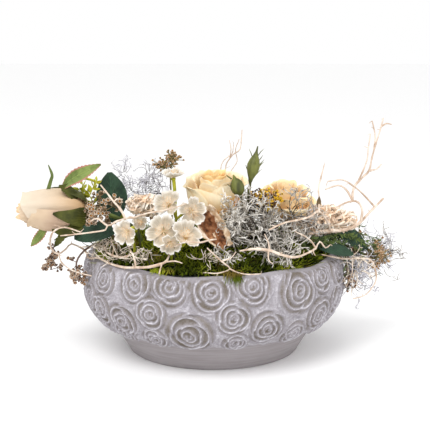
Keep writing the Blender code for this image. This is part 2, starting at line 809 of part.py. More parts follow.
def make_blossom(name, place, facing, radius_mm, roll):
    """A five-lobed cupped blossom, cut from one sheet, with its centre raised."""
    radius = radius_mm * MM
    frame = frame_along(at(*place), facing, roll)
    bm = bmesh.new()
    bmesh.ops.create_circle(bm, cap_ends=True, cap_tris=True, radius=1.0, segments=15)
    bmesh.ops.subdivide_edges(
        bm, edges=[edge for edge in bm.edges if not edge.is_boundary], cuts=1, use_grid_fill=False,
    )
    bmesh.ops.triangulate(bm, faces=bm.faces)
    for vert in bm.verts:
        out = math.hypot(vert.co.x, vert.co.y)
        angle = math.atan2(vert.co.y, vert.co.x)
        lobe = 0.62 + 0.38 * abs(math.sin(2.5 * angle)) ** 0.5
        reach = out * (lobe if out > 0.75 else 0.5 + 0.5 * lobe) * radius
        wave = -0.05 * radius * math.cos(5 * angle) * out if out > 0.1 else 0.26 * radius
        vert.co = Vector((reach * math.cos(angle), reach * math.sin(angle), CUP * radius * out * out + wave))
    bmesh.ops.solidify(bm, geom=bm.faces[:], thickness=PETAL)
    node = make_node(name, [placed(bm, frame)], "blossom")
    smooth(node)
    settle(node)


def make_blossom_stem(name, foot_xy, fork, tips):
    """A lime green stem that rises from the foam and forks to its blossoms."""
    trunk = planted(*foot_xy, 1.4 * MM, [fork], 14 * MM)
    pieces = [tube(trunk, [1.4 * MM] * len(trunk))]
    for tip in tips:
        place, facing = next((at(*row[1]), Vector(row[2]).normalized()) for row in BLOSSOMS if row[0] == tip)
        tree = next(tree for tree, _low, _high, known in finished if known == tip)
        behind = place - facing * 9 * MM
        under = tree.ray_cast(behind, facing)[0]
        run = curve_through([fork, behind, under - facing * 1.0 * MM], 11 * MM)
        radii = tapered(run, 1.0 * MM, 1.3 * MM)
        middle, middle_radii = bent_clear(run[:-1], radii[:-1], fixed=1)
        pieces.append(tube(middle + run[-1:], middle_radii + radii[-1:]))
    node = make_node(name, pieces, "lime_stem")
    smooth(node)
    settle(node)


def make_blossoms():
    for index, (name, place, facing, radius) in enumerate(BLOSSOMS):
        make_blossom(name, place, facing, radius, 0.7 * index)
    make_blossom_stem("blossom_stem_left", (-80, -72), at(-80, -80, 140), ("blossom_far_left", "blossom_small"))
    make_blossom_stem("blossom_stem_middle", (-42, -82), at(-42, -88, 136),
                      ("blossom_front", "blossom_low", "blossom_lowest"))
    make_blossom_stem("blossom_stem_upper", (-38, -58), at(-38, -58, 150),
                      ("blossom_upper", "blossom_back", "blossom_top"))


# Dry leaf, shavings and filler


def make_dry_leaf():
    """A brown leaf that has dried into an open hollow, held on its own stalk."""
    top = at(-13, -84, 165)
    down = at(24, -6, -38)
    side = Vector((0.82, 0.25, 0.52)).normalized()
    back = side.cross(down).normalized()

    def shape(s, t):
        half = 12.5 * MM * math.sin(math.pi * (0.10 + 0.80 * t)) ** 0.6
        hollow = 10.0 * (1.0 - s * s) * math.sin(math.pi * (0.15 + 0.7 * t))
        deep = (hollow + 1.4 * math.sin(7 * s + 4 * t)) * MM
        return top + down * t + side * (s * half + 1.2 * MM * math.sin(5 * t)) + back * deep

    pieces = [sheet(shape, 8, 5, LEAF)]
    run = planted(8, -82, 1.4 * MM, [shape(0.0, 0.6) + at(0, 0.3, 0)], 30 * MM)
    pieces.append(tube(run, [1.4 * MM] * len(run)))
    node = make_node("dry_brown_leaf", pieces, "dry_leaf")
    smooth(node)
    settle(node)


def shaving_ribbon(centre, axis, start, turns, inner, outer, width, lift):
    """One curled ribbon of wood, wound round the axis from the inner radius to the outer."""
    frame = frame_along(centre, axis, start)

    def shape(s, t):
        radius = inner + (outer - inner) * t
        angle = turns * math.tau * t
        height = s * width / 2 * (0.8 + 0.2 * math.cos(9 * t)) + lift * t
        radius *= 1.0 + 0.05 * math.sin(5 * angle) + 0.06 * s
        return frame @ Vector((radius * math.cos(angle), radius * math.sin(angle), height))

    return sheet(shape, 1, max(5, int(8 * turns)), LEAF)


def shaving_rosette(centre, axis, size, arms, draw):
    """Thin wood shavings curled round a pith."""
    pith = [(0.0, -0.45 * size), (0.2 * size, -0.3 * size), (0.2 * size, 0.25 * size), (0.0, 0.4 * size)]
    pieces = [placed(turned(pith, 6), frame_along(centre, axis))]
    for index in range(arms):
        start = math.tau * index / arms + draw.uniform(-0.15, 0.15)
        lift = size * draw.uniform(-0.2, 0.2)
        pieces.append(shaving_ribbon(centre, axis, start, 0.9, size * 0.14, size, size * 0.6, lift))
    return pieces


def make_shaving_curl(name, rosettes, foot_xy, seed):
    """A bunch of shaving rosettes, side by side, on a short stick."""
    draw = random.Random(seed)
    pieces = []
    for centre, axis, size, arms in rosettes:
        pieces += shaving_rosette(centre, axis, size, arms, draw)
    centre, axis, size, _arms = rosettes[0]
    run = planted(*foot_xy, 1.5 * MM, [centre - Vector(axis).normalized() * size * 0.3], 30 * MM)
    pieces.append(tube(run, [1.5 * MM] * len(run)))
    for other, *_rest in rosettes[1:]:
        pieces.append(tube([centre, centre.lerp(other, 0.5), other], [1.5 * MM] * 3))
    node = make_node(name, pieces, "shaving")
    smooth(node)
    settle(node)


def make_spray(name, finish, foot_xy, bends, head, toward, spread, buds, seed, bud_size=2.9):
    """A planted stem with a head of short stalks, each ending in a few buds."""
    draw = random.Random(seed)
    run = planted(*foot_xy, 1.2 * MM, route(*bends) + [at(*head)], 15 * MM)
    run, radii = bent_clear(run, tapered(run, 1.2 * MM, 0.9 * MM), fixed=2)
    pieces = [tube(run, radii, 3)]
    tip = run[-1]
    way = Vector(toward).normalized()
    ends = []
    for _ in range(80 * buds):
        if len(ends) == buds:
            break
        lean = Vector([draw.gauss(0.0, 1.0) for _ in range(3)]).normalized()
        out = (way + lean * 0.95).normalized()
        end = tip + out * spread * MM * draw.uniform(0.55, 1.0)
        size = bud_size * MM * draw.uniform(0.85, 1.1)
        root = tip.lerp(run[-2], draw.uniform(0.0, 0.9))
        stalk = [root, end - out * size, end, end + out * size]
        thick = [0.7 * MM, 0.65 * MM, size, 0.4 * size]
        if not run_is_free(stalk, thick) or any((end - other).length < 2.0 * size for other in ends):
            continue
        pieces.append(tube(stalk, thick, 3))
        ends.append(end)
    node = make_node(name, pieces, finish)
    settle(node)


def make_sprays():
    make_spray("spray_top", "dried_spray", (-44, 14), [(-46, 16, 165)], (-47, 20, 193), (0, 0, 1), 22, 7, 11)
    make_spray("spray_left", "dried_spray", (-100, -52), [(-103, -54, 132), (-107, -58, 150)],
               (-111, -60, 163), (-0.5, -0.1, 0.7), 22, 7, 12)
    make_spray("spray_low_left", "dried_spray", (-98, 12), [(-112, 4, 124), (-140, -14, 124)],
               (-160, -28, 114), (-0.5, -0.1, -0.8), 20, 6, 13)
    make_spray("spray_rim_left", "dried_spray", (-108, -26), [(-118, -38, 121), (-130, -52, 116)],
               (-135, -58, 108), (-0.1, -0.2, -1.0), 18, 6, 14)
    make_spray("spray_right", "dried_spray", (104, 2), [(122, 8, 122), (150, 10, 121)],
               (172, 6, 113), (0.35, -0.1, -0.6), 26, 7, 15)
    make_spray("spray_low_right", "dried_spray", (110, -4), [(124, -8, 122), (142, -14, 106)],
               (150, -14, 82), (-0.1, -0.1, -1.0), 20, 6, 16)
    make_spray("yellow_filler", "yellow_filler", (50, -46), [(50, -46, 150)], (53, -46, 164),
               (0.05, -0.1, 0.8), 17, 9, 17, 3.6)


# Bleached twigs


TWIG_SPACING = 14 * MM


def make_twig(name, foot_xy, places, thick, thin, forks):
    """A bleached twig: its run from the foam, and its forks, each rooted in a run before it."""
    run = planted(*foot_xy, thick * MM, route(*places), TWIG_SPACING)
    run, radii = bent_clear(run, tapered(run, thick * MM, thin * MM), fixed=2)
    pieces = [tube(run, radii, 4)]
    grown = [run]
    for fork, fork_thick, fork_thin in forks:
        places = route(*fork)
        near = min((point for other in grown for point in other), key=lambda point: (point - places[0]).length)
        places[0] = near
        branch = curve_through(places, TWIG_SPACING)
        branch, radii = bent_clear(branch, tapered(branch, fork_thick * MM, fork_thin * MM), fixed=1)
        grown.append(branch)
        pieces.append(tube(branch, radii, 3))
    node = make_node(name, pieces, "bleached")
    smooth(node)
    settle(node)


def make_twigs():
    make_twig(
        "twig_left_low", (-44, -92),
        [(-43, -104, 124), (-47, -117, 119), (-62, -120, 115), (-76, -110, 112), (-89, -97, 109),
         (-104, -78, 108), (-118, -60, 110), (-130, -42, 106), (-134, -42, 114), (-147, -48, 122),
         (-152, -52, 118), (-160, -54, 113), (-167, -54, 118), (-166, -66, 132), (-161, -76, 141),
         (-153, -81, 146), (-145, -83, 146), (-133, -84, 142)],
        1.7, 0.9,
        [([(-76, -110, 112), (-78, -106, 120), (-82, -102, 128)], 1.0, 0.7),
         ([(-47, -117, 119), (-37, -121, 121)], 1.0, 0.7),
         ([(-50, -118, 118), (-52, -136, 112)], 1.0, 0.7),
         ([(-160, -54, 113), (-156, -58, 104), (-142, -72, 99), (-122, -92, 99)], 0.9, 0.7)],
    )
    make_twig(
        "twig_left_thick", (-64, -97),
        [(-74, -94, 124), (-84, -88, 119), (-93, -80, 115), (-103, -70, 115), (-110, -62, 117)],
        2.4, 1.6,
        [([(-110, -62, 117), (-112, -60, 123), (-107, -62, 127)], 1.4, 0.9),
         ([(-103, -70, 115), (-101, -72, 124), (-104, -70, 130)], 1.2, 0.8)],
    )
    make_twig(
        "twig_left_upper", (-74, -72),
        [(-75, -84, 146), (-79, -91, 158), (-87, -91, 157), (-96, -90, 154), (-105, -90, 150),
         (-116, -84, 156), (-125, -80, 151)],
        1.6, 0.9,
        [([(-79, -91, 158), (-65, -93, 163), (-51, -97, 166), (-35, -101, 171), (-27, -100, 174)], 1.2, 0.8),
         ([(-87, -91, 157), (-93, -87, 167), (-99, -85, 173), (-105, -84, 181), (-112, -84, 190)], 1.5, 1.0),
         ([(-105, -90, 150), (-107, -92, 146), (-120, -94, 144), (-136, -94, 142), (-152, -92, 140)], 1.1, 0.8),
         ([(-99, -85, 173), (-96, -86, 176), (-90, -88, 176)], 0.9, 0.7)],
    )
    make_twig(
        "twig_centre", (-38, -104),
        [(-38, -112, 133), (-27, -122, 140), (-13, -124, 140), (-4, -122, 142), (3, -118, 142)],
        1.3, 0.8,
        [([(-4, -122, 142), (-10, -119, 148), (-15, -116, 154)], 0.9, 0.7)],
    )
    make_twig(
        "twig_front_right", (18, -98),
        [(26, -108, 128), (40, -112, 131), (55, -110, 129), (65, -113, 126), (75, -112, 123),
         (84, -106, 122), (96, -94, 124), (103, -82, 125)],
        1.9, 1.2,
        [([(55, -110, 129), (54, -112, 137), (50, -112, 146)], 1.0, 0.7),
         ([(54, -110, 129), (54, -116, 121), (58, -120, 118)], 1.0, 0.7),
         ([(103, -82, 125), (98, -84, 133), (90, -86, 139), (81, -90, 144)], 1.1, 0.7),
         ([(103, -82, 125), (107, -82, 132), (113, -80, 125), (118, -78, 128)], 1.1, 0.7)],
    )
    make_twig(
        "twig_right_main", (90, -44),
        [(98, -46, 132), (106, -44, 133), (122, -38, 134), (134, -32, 133), (146, -26, 135),
         (156, -20, 140), (163, -12, 145), (173, -4, 153), (183, 4, 161)],
        2.2, 1.0,
        [([(156, -20, 140), (157, -22, 152), (153, -22, 161), (146, -24, 163), (138, -26, 161),
           (129, -28, 157)], 1.3, 0.8),
         ([(146, -24, 163), (144, -18, 168), (140, -14, 174), (132, -14, 178), (118, -16, 174)], 1.1, 0.8),
         ([(173, -4, 153), (159, -12, 168), (149, -18, 177), (136, -22, 185), (120, -24, 184)], 1.0, 0.7),
         ([(146, -24, 163), (150, -4, 174), (160, 10, 182), (168, 12, 190), (171, 14, 204),
           (175, 16, 218), (180, 19, 234), (183, 20, 246)], 1.4, 0.7),
         ([(155, 8, 177), (160, 4, 190), (164, 2, 203), (165, 1, 216), (167, 2, 231)], 1.0, 0.7),
         ([(173, 15, 212), (175, 22, 226), (172, 27, 242)], 0.9, 0.7),
         ([(168, 12, 190), (176, 15, 191), (182, 18, 196)], 0.9, 0.7),
         ([(180, 19, 236), (186, 20, 240), (192, 20, 239)], 0.9, 0.7),
         ([(122, -38, 134), (117, -54, 147), (107, -68, 160), (96, -86, 158), (84, -97, 157),
           (70, -106, 156), (54, -112, 150)], 1.3, 0.8),
         ([(107, -68, 160), (108, -56, 172), (108, -50, 182), (114, -42, 204)], 1.0, 0.7)],
    )
    make_twig(
        "twig_right_low", (100, -56),
        [(111, -62, 114), (124, -50, 109), (137, -42, 105), (151, -36, 104), (165, -33, 102),
         (171, -32, 91), (172, -32, 79), (166, -32, 68), (159, -32, 62), (148, -32, 59)],
        1.6, 0.9,
        [([(145, -43, 106), (145, -43, 89), (139, -44, 75)], 1.0, 0.7)],
    )
    make_twig(
        "twig_back", (16, 30),
        [(14, 28, 160), (13, 26, 190), (18, 24, 202), (24, 24, 208), (29, 24, 212), (31, 24, 233)],
        1.4, 0.7,
        [([(18, 24, 202), (19, 22, 213), (17, 22, 222)], 0.8, 0.6)],
    )


# Silver bush


def grown_twig(draw, start, way, length, steps):
    """A wiry run that wanders a little from its way."""
    points = [start]
    heading = way.normalized()
    for _ in range(steps):
        heading = (heading + Vector([draw.uniform(-1.0, 1.0) for _ in range(3)]) * 0.42).normalized()
        points.append(points[-1] + heading * length / steps)
    return points


# Silver bush: spots are looked at along each twig, which stays clear of its neighbours
SPOT_SPACING = 1.5 * MM
ROOT_SPOTS = 3
TWIG_ROOM = 2.0 * MM
BUSH_THICK = 0.85 * MM
BUSH_FORK = 0.7 * MM
BUSH_THIN = 0.62 * MM


def spots_along(run):
    """Places along a twig, after its root."""
    spots = []
    for start, end in zip(run, run[1:]):
        steps = max(1, int((end - start).length / SPOT_SPACING))
        spots.extend(start.lerp(end, step / steps) for step in range(steps))
    return spots[ROOT_SPOTS:]


def crosses(own, run):
    """Whether a twig runs into another twig of its own bush."""
    return any((spot - other).length < TWIG_ROOM for spot in spots_along(run) for other in own)


def make_bush(name, foot_xy, core, core_size, reach, toward, stems, seed):
    """Silver bush: a small tangled core on its stem, and wiry twigs that stand out all round."""
    draw = random.Random(seed)
    centre = at(*core)
    lean = Vector(toward)
    lump = bmesh.new()
    bmesh.ops.create_icosphere(lump, subdivisions=1, radius=1.0)
    size = Vector(core_size) * MM
    for vert in lump.verts:
        shape = 1.0 + 0.16 * math.sin(5 * vert.co.x + 3 * vert.co.y + seed)
        vert.co = centre + Vector((vert.co.x * size.x, vert.co.y * size.y, vert.co.z * size.z)) * shape
    pieces = [lump]
    run = planted(*foot_xy, 1.6 * MM, [centre], 30 * MM)
    pieces.append(tube(run, [1.6 * MM] * len(run)))
    own = []
    made = 0
    for _ in range(stems * 60):
        if made == stems:
            break
        out = (Vector([draw.gauss(0.0, 1.0) for _ in range(3)]).normalized() + lean).normalized()
        start = centre + Vector((out.x * size.x, out.y * size.y, out.z * size.z)) * 0.55
        run = grown_twig(draw, start, out, reach * MM * draw.uniform(0.7, 1.1), 3)
        radii = tapered(run, BUSH_THICK, BUSH_THIN)
        if not run_is_free(run, radii) or crosses(own, run):
            continue
        pieces.append(tube(run, radii, 3))
        made += 1
        side_way = (out + Vector([draw.gauss(0.0, 1.0) for _ in range(3)]).normalized() * 1.1).normalized()
        side = grown_twig(draw, run[1].lerp(run[2], 0.4), side_way, reach * MM * draw.uniform(0.35, 0.55), 1)
        radii = tapered(side, BUSH_FORK, BUSH_THIN)
        if run_is_free(side, radii) and not crosses(own, side):
            pieces.append(tube(side, radii, 3))
            own.extend(spots_along(side))
        own.extend(spots_along(run))
    node = make_node(name, pieces, "silver")
    settle(node)


def make_silver_bush():
    make_bush("silver_bush_centre", (56, -64), (51, -70, 147), (15, 10, 12), 44, (0.0, -0.25, 0.1), 13, 21)
    make_bush("silver_bush_left_back", (-66, 30), (-70, 32, 152), (14, 12, 10), 42, (-0.2, 0.1, 0.5), 10, 22)
    make_bush("silver_bush_right", (106, 34), (148, 34, 114), (14, 12, 9), 50, (0.55, -0.2, -0.4), 10, 23)


def clear_scene():
    for old in list(bpy.data.objects):
        bpy.data.objects.remove(old, do_unlink=True)


def main():
    clear_scene()
    make_bowl()
    make_film()
    foam = make_foam()
    moss = make_moss()
    settle(moss)
    make_open_rose()
    make_second_rose()
    make_bud()
    make_bud_greenery()
    make_green_buds()
    make_leaf_sprigs()
    make_blossoms()
    make_dry_leaf()
    make_shaving_curl("shaving_curl_right", [(at(131, -2, 139), (0.25, -0.9, 0.5), 16 * MM, 3),
                                             (at(109, -4, 130), (-0.3, -0.8, 0.7), 14 * MM, 2)], (110, 14), 31)
    make_shaving_curl("shaving_curl_left", [(at(-68, -26, 158), (-0.1, -0.9, 0.4), 14 * MM, 3)], (-62, -14), 32)
    make_twigs()
    make_sprays()
    make_silver_bush()
    cut_holes(foam)
    cut_holes(moss)


main()
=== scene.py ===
"""The looks of the sympathy rose bowl arrangement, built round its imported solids.

Lengths are metres in the part's own frame: the foot's centre is the origin, +Z is up and the
front faces -Y. Places and sizes are written in millimetres through at(), route() and MM.
"""

import math
import random

import bmesh
import bpy
import numpy as np
from mathutils import Matrix, Vector, noise


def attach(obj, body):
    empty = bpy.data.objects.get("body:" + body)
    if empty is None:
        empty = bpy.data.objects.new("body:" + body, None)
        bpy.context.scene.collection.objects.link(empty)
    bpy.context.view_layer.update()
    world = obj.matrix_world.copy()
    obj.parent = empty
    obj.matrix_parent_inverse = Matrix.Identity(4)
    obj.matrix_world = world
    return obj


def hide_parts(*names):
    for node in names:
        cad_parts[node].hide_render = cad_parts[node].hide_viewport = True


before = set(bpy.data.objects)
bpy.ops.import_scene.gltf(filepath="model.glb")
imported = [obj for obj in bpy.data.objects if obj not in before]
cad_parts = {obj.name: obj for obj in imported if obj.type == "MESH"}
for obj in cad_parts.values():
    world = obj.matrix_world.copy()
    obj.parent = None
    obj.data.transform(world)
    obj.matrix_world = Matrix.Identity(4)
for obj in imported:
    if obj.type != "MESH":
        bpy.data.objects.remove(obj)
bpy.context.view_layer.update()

MM = 0.001
UP = Vector((0.0, 0.0, 1.0))
TAU = math.tau
# The height inside the moss at which the stems start here, in millimetres
ROOT = 100


# Places and runs


def at(x, y, z):
    """A place given in millimetres."""
    return Vector((x, y, z)) * MM


def route(*places):
    """A run of places given in millimetres."""
    return [at(*place) for place in places]


def in_metres(*places):
    """The places, given in millimetres, as a run."""
    return [place * MM for place in places]


def curve_through(places, spacing):
    """A smooth run through the places, with a point about every spacing."""
    ends = [places[0] * 2 - places[1]] + list(places) + [places[-1] * 2 - places[-2]]
    run = [places[0].copy()]
    for before, start, end, after in zip(ends, ends[1:], ends[2:], ends[3:]):
        steps = max(1, round((end - start).length / spacing))
        for step in range(1, steps + 1):
            t = step / steps
            run.append(0.5 * (
                2 * start
                + (end - before) * t
                + (2 * before - 5 * start + 4 * end - after) * t * t
                + (3 * start - before - 3 * end + after) * t * t * t
            ))
    return run


def directions_of(points):
    """The direction of a run at each of its points."""
    found = []
    for index in range(len(points)):
        ahead = points[min(index + 1, len(points) - 1)]
        behind = points[max(index - 1, 0)]
        found.append((ahead - behind).normalized())
    return found


def frame_along(origin, direction, roll=0.0):
    """A frame at the origin with +Z along the direction, rolled round it."""
    turn = UP.rotation_difference(Vector(direction).normalized()).to_matrix().to_4x4()
    return Matrix.Translation(origin) @ turn @ Matrix.Rotation(roll, 4, "Z")


def tapered(points, thick, thin):
    """A radius for each point of a run, from thick to thin."""
    last = len(points) - 1
    return [thick + (thin - thick) * index / last for index in range(last + 1)]


def any_way(draw):
    """A random direction."""
    return Vector([draw.gauss(0.0, 1.0) for _ in range(3)]).normalized()


def eased(value, low, high):
    """0 below low, 1 above high and a smooth rise between them; takes arrays too."""
    t = np.clip((value - low) / (high - low), 0.0, 1.0)
    return t * t * (3.0 - 2.0 * t)


# Shaping with bmesh


def tube(points, radii, sides):
    """A closed tapered tube, extruded ring by ring along the points."""
    bm = bmesh.new()
    along = directions_of(points)
    place = Matrix.Translation(points[0]) @ UP.rotation_difference(along[0]).to_matrix().to_4x4()
    bmesh.ops.create_circle(bm, cap_ends=False, radius=radii[0], segments=sides, matrix=place)
    hoop = bm.edges[:]
    for index in range(1, len(points)):
        grown = bmesh.ops.extrude_edge_only(bm, edges=hoop)["geom"]
        ring = [part for part in grown if isinstance(part, bmesh.types.BMVert)]
        hoop = [part for part in grown if isinstance(part, bmesh.types.BMEdge)]
        turn = along[index - 1].rotation_difference(along[index]).to_matrix().to_4x4()
        shrink = Matrix.Scale(radii[index] / radii[index - 1], 4)
        step = Matrix.Translation(points[index]) @ turn @ shrink @ Matrix.Translation(-points[index - 1])
        bmesh.ops.transform(bm, matrix=step, verts=ring)
    bmesh.ops.holes_fill(bm, edges=bm.edges, sides=sides)
    return bm


def turned(outline, sides, size=1.0, unit=MM):
    """A solid turned round +Z from a half outline of (radius, height), times its size."""
    bm = bmesh.new()
    verts = []
    for radius, height in outline:
        verts.append(bm.verts.new((radius * size * unit, 0.0, height * size * unit)))
    edges = [bm.edges.new(pair) for pair in zip(verts, verts[1:])]
    bmesh.ops.spin(
        bm, geom=verts + edges, cent=(0, 0, 0), axis=(0, 0, 1),
        angle=TAU, steps=sides, use_merge=True,
    )
    bmesh.ops.remove_doubles(bm, verts=bm.verts, dist=1e-6)
    bmesh.ops.recalc_face_normals(bm, faces=bm.faces)
    return bm


def placed(bm, matrix):
    """The bmesh moved and turned by the matrix."""
    bmesh.ops.transform(bm, matrix=matrix, verts=bm.verts)
    return bm


def sheet(shape, across, along, thickness, finish=0):
    """A thin closed blade laid by shape(s, t); its UV map runs across in U and along in V."""
    bm = bmesh.new()
    bm.loops.layers.uv.new("UVMap")
    bmesh.ops.create_grid(bm, x_segments=across, y_segments=along, size=1.0, calc_uvs=True)
    for vert in bm.verts:
        vert.co = shape(vert.co.x, (vert.co.y + 1.0) / 2.0)
    bmesh.ops.solidify(bm, geom=bm.faces[:], thickness=thickness)
    for face in bm.faces:
        face.material_index = finish
    return bm


def joined(parts):
    """One bmesh that holds all the parts."""
    whole = bmesh.new()
    for part in parts:
        carrier = bpy.data.meshes.new("carrier")
        part.to_mesh(carrier)
        part.free()
        whole.from_mesh(carrier)
        bpy.data.meshes.remove(carrier)
    return whole


def with_finish(bm, index):
    """The bmesh with all its faces on one of the piece's materials."""
    for face in bm.faces:
        face.material_index = index
    return bm


def show(name, bm, finishes, stands_for=(), crease=60.0):
    """Turns the bmesh into a piece of the part that rides with it."""
    mesh = bpy.data.meshes.new(name)
    bm.to_mesh(mesh)
    bm.free()
    for finish in finishes:
        mesh.materials.append(finish)
    mesh.shade_smooth()
    mesh.set_sharp_from_angle(angle=math.radians(crease))
    piece = bpy.data.objects.new(name, mesh)
    bpy.context.scene.collection.objects.link(piece)
    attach(piece, "root")
    if stands_for:
        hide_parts(*stands_for)


class Strand:
    """A small tube that is bent along many runs and gathered in one mesh."""

    def __init__(self, sides, steps, finish):
        bm = bmesh.new()
        layer = bm.verts.layers.float.new("along")
        bmesh.ops.create_circle(bm, cap_ends=False, radius=1.0, segments=sides)
        hoop = bm.edges[:]
        for _ in range(steps):
            grown = bmesh.ops.extrude_edge_only(bm, edges=hoop)["geom"]
            ring = [part for part in grown if isinstance(part, bmesh.types.BMVert)]
            hoop = [part for part in grown if isinstance(part, bmesh.types.BMEdge)]
            bmesh.ops.translate(bm, verts=ring, vec=UP)
        bmesh.ops.holes_fill(bm, edges=bm.edges, sides=sides)
        bmesh.ops.recalc_face_normals(bm, faces=bm.faces)
        for vert in bm.verts:
            vert[layer] = vert.co.z / steps
        self.mesh = bpy.data.meshes.new("strand")
        with_finish(bm, finish).to_mesh(self.mesh)
        bm.free()
        places = np.empty(len(self.mesh.vertices) * 3)
        self.mesh.vertices.foreach_get("co", places)
        self.places = places.reshape(-1, 3)

    def strew(self, whole, runs, radii, flat=1.0):
        """Adds a strand to the bmesh for each run; runs are (strands, points, 3) arrays."""
        runs = np.asarray(runs, float)
        radii = np.asarray(radii, float)
        ahead = np.concatenate([runs[:, 1:], runs[:, -1:]], axis=1)
        behind = np.concatenate([runs[:, :1], runs[:, :-1]], axis=1)
        ways = ahead - behind
        ways /= np.maximum(np.linalg.norm(ways, axis=2, keepdims=True), 1e-12)
        side = np.cross(ways[:, 0], np.array([0.31, 0.59, 0.74]))
        sides = []
        for index in range(runs.shape[1]):
            way = ways[:, index]
            side = side - np.sum(side * way, axis=1, keepdims=True) * way
            side /= np.maximum(np.linalg.norm(side, axis=1, keepdims=True), 1e-12)
            sides.append(side)
        sides = np.stack(sides, axis=1)
        others = np.cross(ways, sides)
        ring = np.rint(self.places[:, 2]).astype(int)
        girth = radii[:, ring, None]
        offset = sides[:, ring] * self.places[None, :, :1]
        offset = offset + others[:, ring] * self.places[None, :, 1:2] * flat
        for strand in runs[:, ring] + girth * offset:
            self.mesh.vertices.foreach_set("co", strand.ravel())
            whole.from_mesh(self.mesh)


def strewn(template, matrices, whole):
    """Adds a copy of the template mesh to the bmesh for each matrix."""
    places = np.empty(len(template.vertices) * 3)
    template.vertices.foreach_get("co", places)
    places = places.reshape(-1, 3)
    for matrix in matrices:
        turn = np.array(matrix.to_3x3())
        moved = places @ turn.T + np.array(matrix.translation)
        template.vertices.foreach_set("co", moved.ravel())
        whole.from_mesh(template)
    template.vertices.foreach_set("co", places.ravel())


# Finishes


class Flow:
    """A shader socket that takes part in sums; each operator adds its Math node."""

    def __init__(self, paint, socket):
        self.paint = paint
        self.socket = socket

    def maths(self, operation, first, second=0.0):
        """The result of that operation on the two values."""
        return self.paint.add("ShaderNodeMath", {"operation": operation}, {0: first, 1: second})

    def __add__(self, other):
        return self.maths("ADD", self, other)

    def __radd__(self, other):
        return self.maths("ADD", other, self)

    def __sub__(self, other):
        return self.maths("SUBTRACT", self, other)

    def __rsub__(self, other):
        return self.maths("SUBTRACT", other, self)

    def __mul__(self, other):
        return self.maths("MULTIPLY", self, other)

    def __pow__(self, other):
        return self.maths("POWER", self, other)

    def wave(self):
        """The sine of the value."""
        return self.maths("SINE", self)

    def size(self):
        """The value without its sign."""
        return self.maths("ABSOLUTE", self)

    def between(self, low, high):
        """0 below low, 1 above high and a smooth rise between them."""
        settings = {"interpolation_type": "SMOOTHSTEP", "clamp": True}
        values = {"Value": self, "From Min": low, "From Max": high}
        return self.paint.add("ShaderNodeMapRange", settings, values)


def shade(red, green, blue):
    """A display colour of 0-255 channels as the linear colour that a shader takes."""
    channels = []
    for value in (red, green, blue):
        share = value / 255.0
        channels.append(share / 12.92 if share <= 0.04045 else ((share + 0.055) / 1.055) ** 2.4)
    return (*channels, 1.0)


class Paint:
    """One finish: a Principled material whose colour, roughness and relief come from nodes."""

    def __init__(self, name, **fixed):
        self.material = bpy.data.materials.new(name)
        self.material.use_nodes = True
        self.tree = self.material.node_tree
        self.shader = self.tree.nodes["Principled BSDF"]
        for socket, value in fixed.items():
            self.shader.inputs[socket.replace("_", " ")].default_value = value

    def add(self, kind, settings=None, values=None, output=0):
        """A node of that type; its settings are set first, then its sockets' values or links."""
        node = self.tree.nodes.new(kind)
        for setting, value in (settings or {}).items():
            if setting == "stops":
                elements = node.color_ramp.elements
                for index, (place, colour) in enumerate(value):
                    stop = elements[index] if index < 2 else elements.new(place)
                    stop.position = place
                    stop.color = colour
            else:
                setattr(node, setting, value)
        for socket, value in (values or {}).items():
            if isinstance(value, Flow):
                self.tree.links.new(value.socket, node.inputs[socket])
            else:
                node.inputs[socket].default_value = value
        return Flow(self, node.outputs[output])

    def spot(self, stretch=(1.0, 1.0, 1.0)):
        """The place on the piece, with each axis stretched."""
        here = self.add("ShaderNodeTexCoord", output="Object")
        return self.add("ShaderNodeMapping", {}, {"Vector": here, "Scale": stretch})

    def mapped(self, axis):
        """One axis of the blade's UV map."""
        here = self.add("ShaderNodeTexCoord", output="UV")
        return self.add("ShaderNodeSeparateXYZ", {}, {0: here}, axis)

    def across(self):
        """How far across its blade a place lies, from 0 to 1."""
        return self.mapped("X")

    def along(self):
        """How far up its blade a place lies, from 0 to 1."""
        return self.mapped("Y")

    def kept(self, name):
        """A value that the mesh keeps at each vertex."""
        return self.add("ShaderNodeAttribute", {"attribute_name": name}, {}, "Fac")

    def cloud(self, scale, detail=3.0, stretch=(1.0, 1.0, 1.0)):
        """Soft noise from 0 to 1."""
        values = {"Vector": self.spot(stretch), "Scale": scale, "Detail": detail, "Roughness": 0.55}
        return self.add("ShaderNodeTexNoise", {}, values)

    def ramp(self, share, *stops):
        """A colour that runs through the stops."""
        return self.add("ShaderNodeValToRGB", {"stops": stops}, {0: share})

    def mix(self, share, first, second):
        """The first colour at 0 and the second at 1."""
        values = {"Factor": share, 6: first, 7: second}
        return self.add("ShaderNodeMix", {"data_type": "RGBA", "clamp_factor": True}, values, 2)

    def colour(self, flow):
        """Sets the colour."""
        self.tree.links.new(flow.socket, self.shader.inputs["Base Color"])

    def roughness(self, flow):
        """Sets the roughness."""
        self.tree.links.new(flow.socket, self.shader.inputs["Roughness"])

    def relief(self, height, depth):
        """Raises the surface by the height times the depth in metres."""
        values = {"Height": height, "Distance": depth, "Strength": 1.0}
        bump = self.add("ShaderNodeBump", {}, values)
        self.tree.links.new(bump.socket, self.shader.inputs["Normal"])


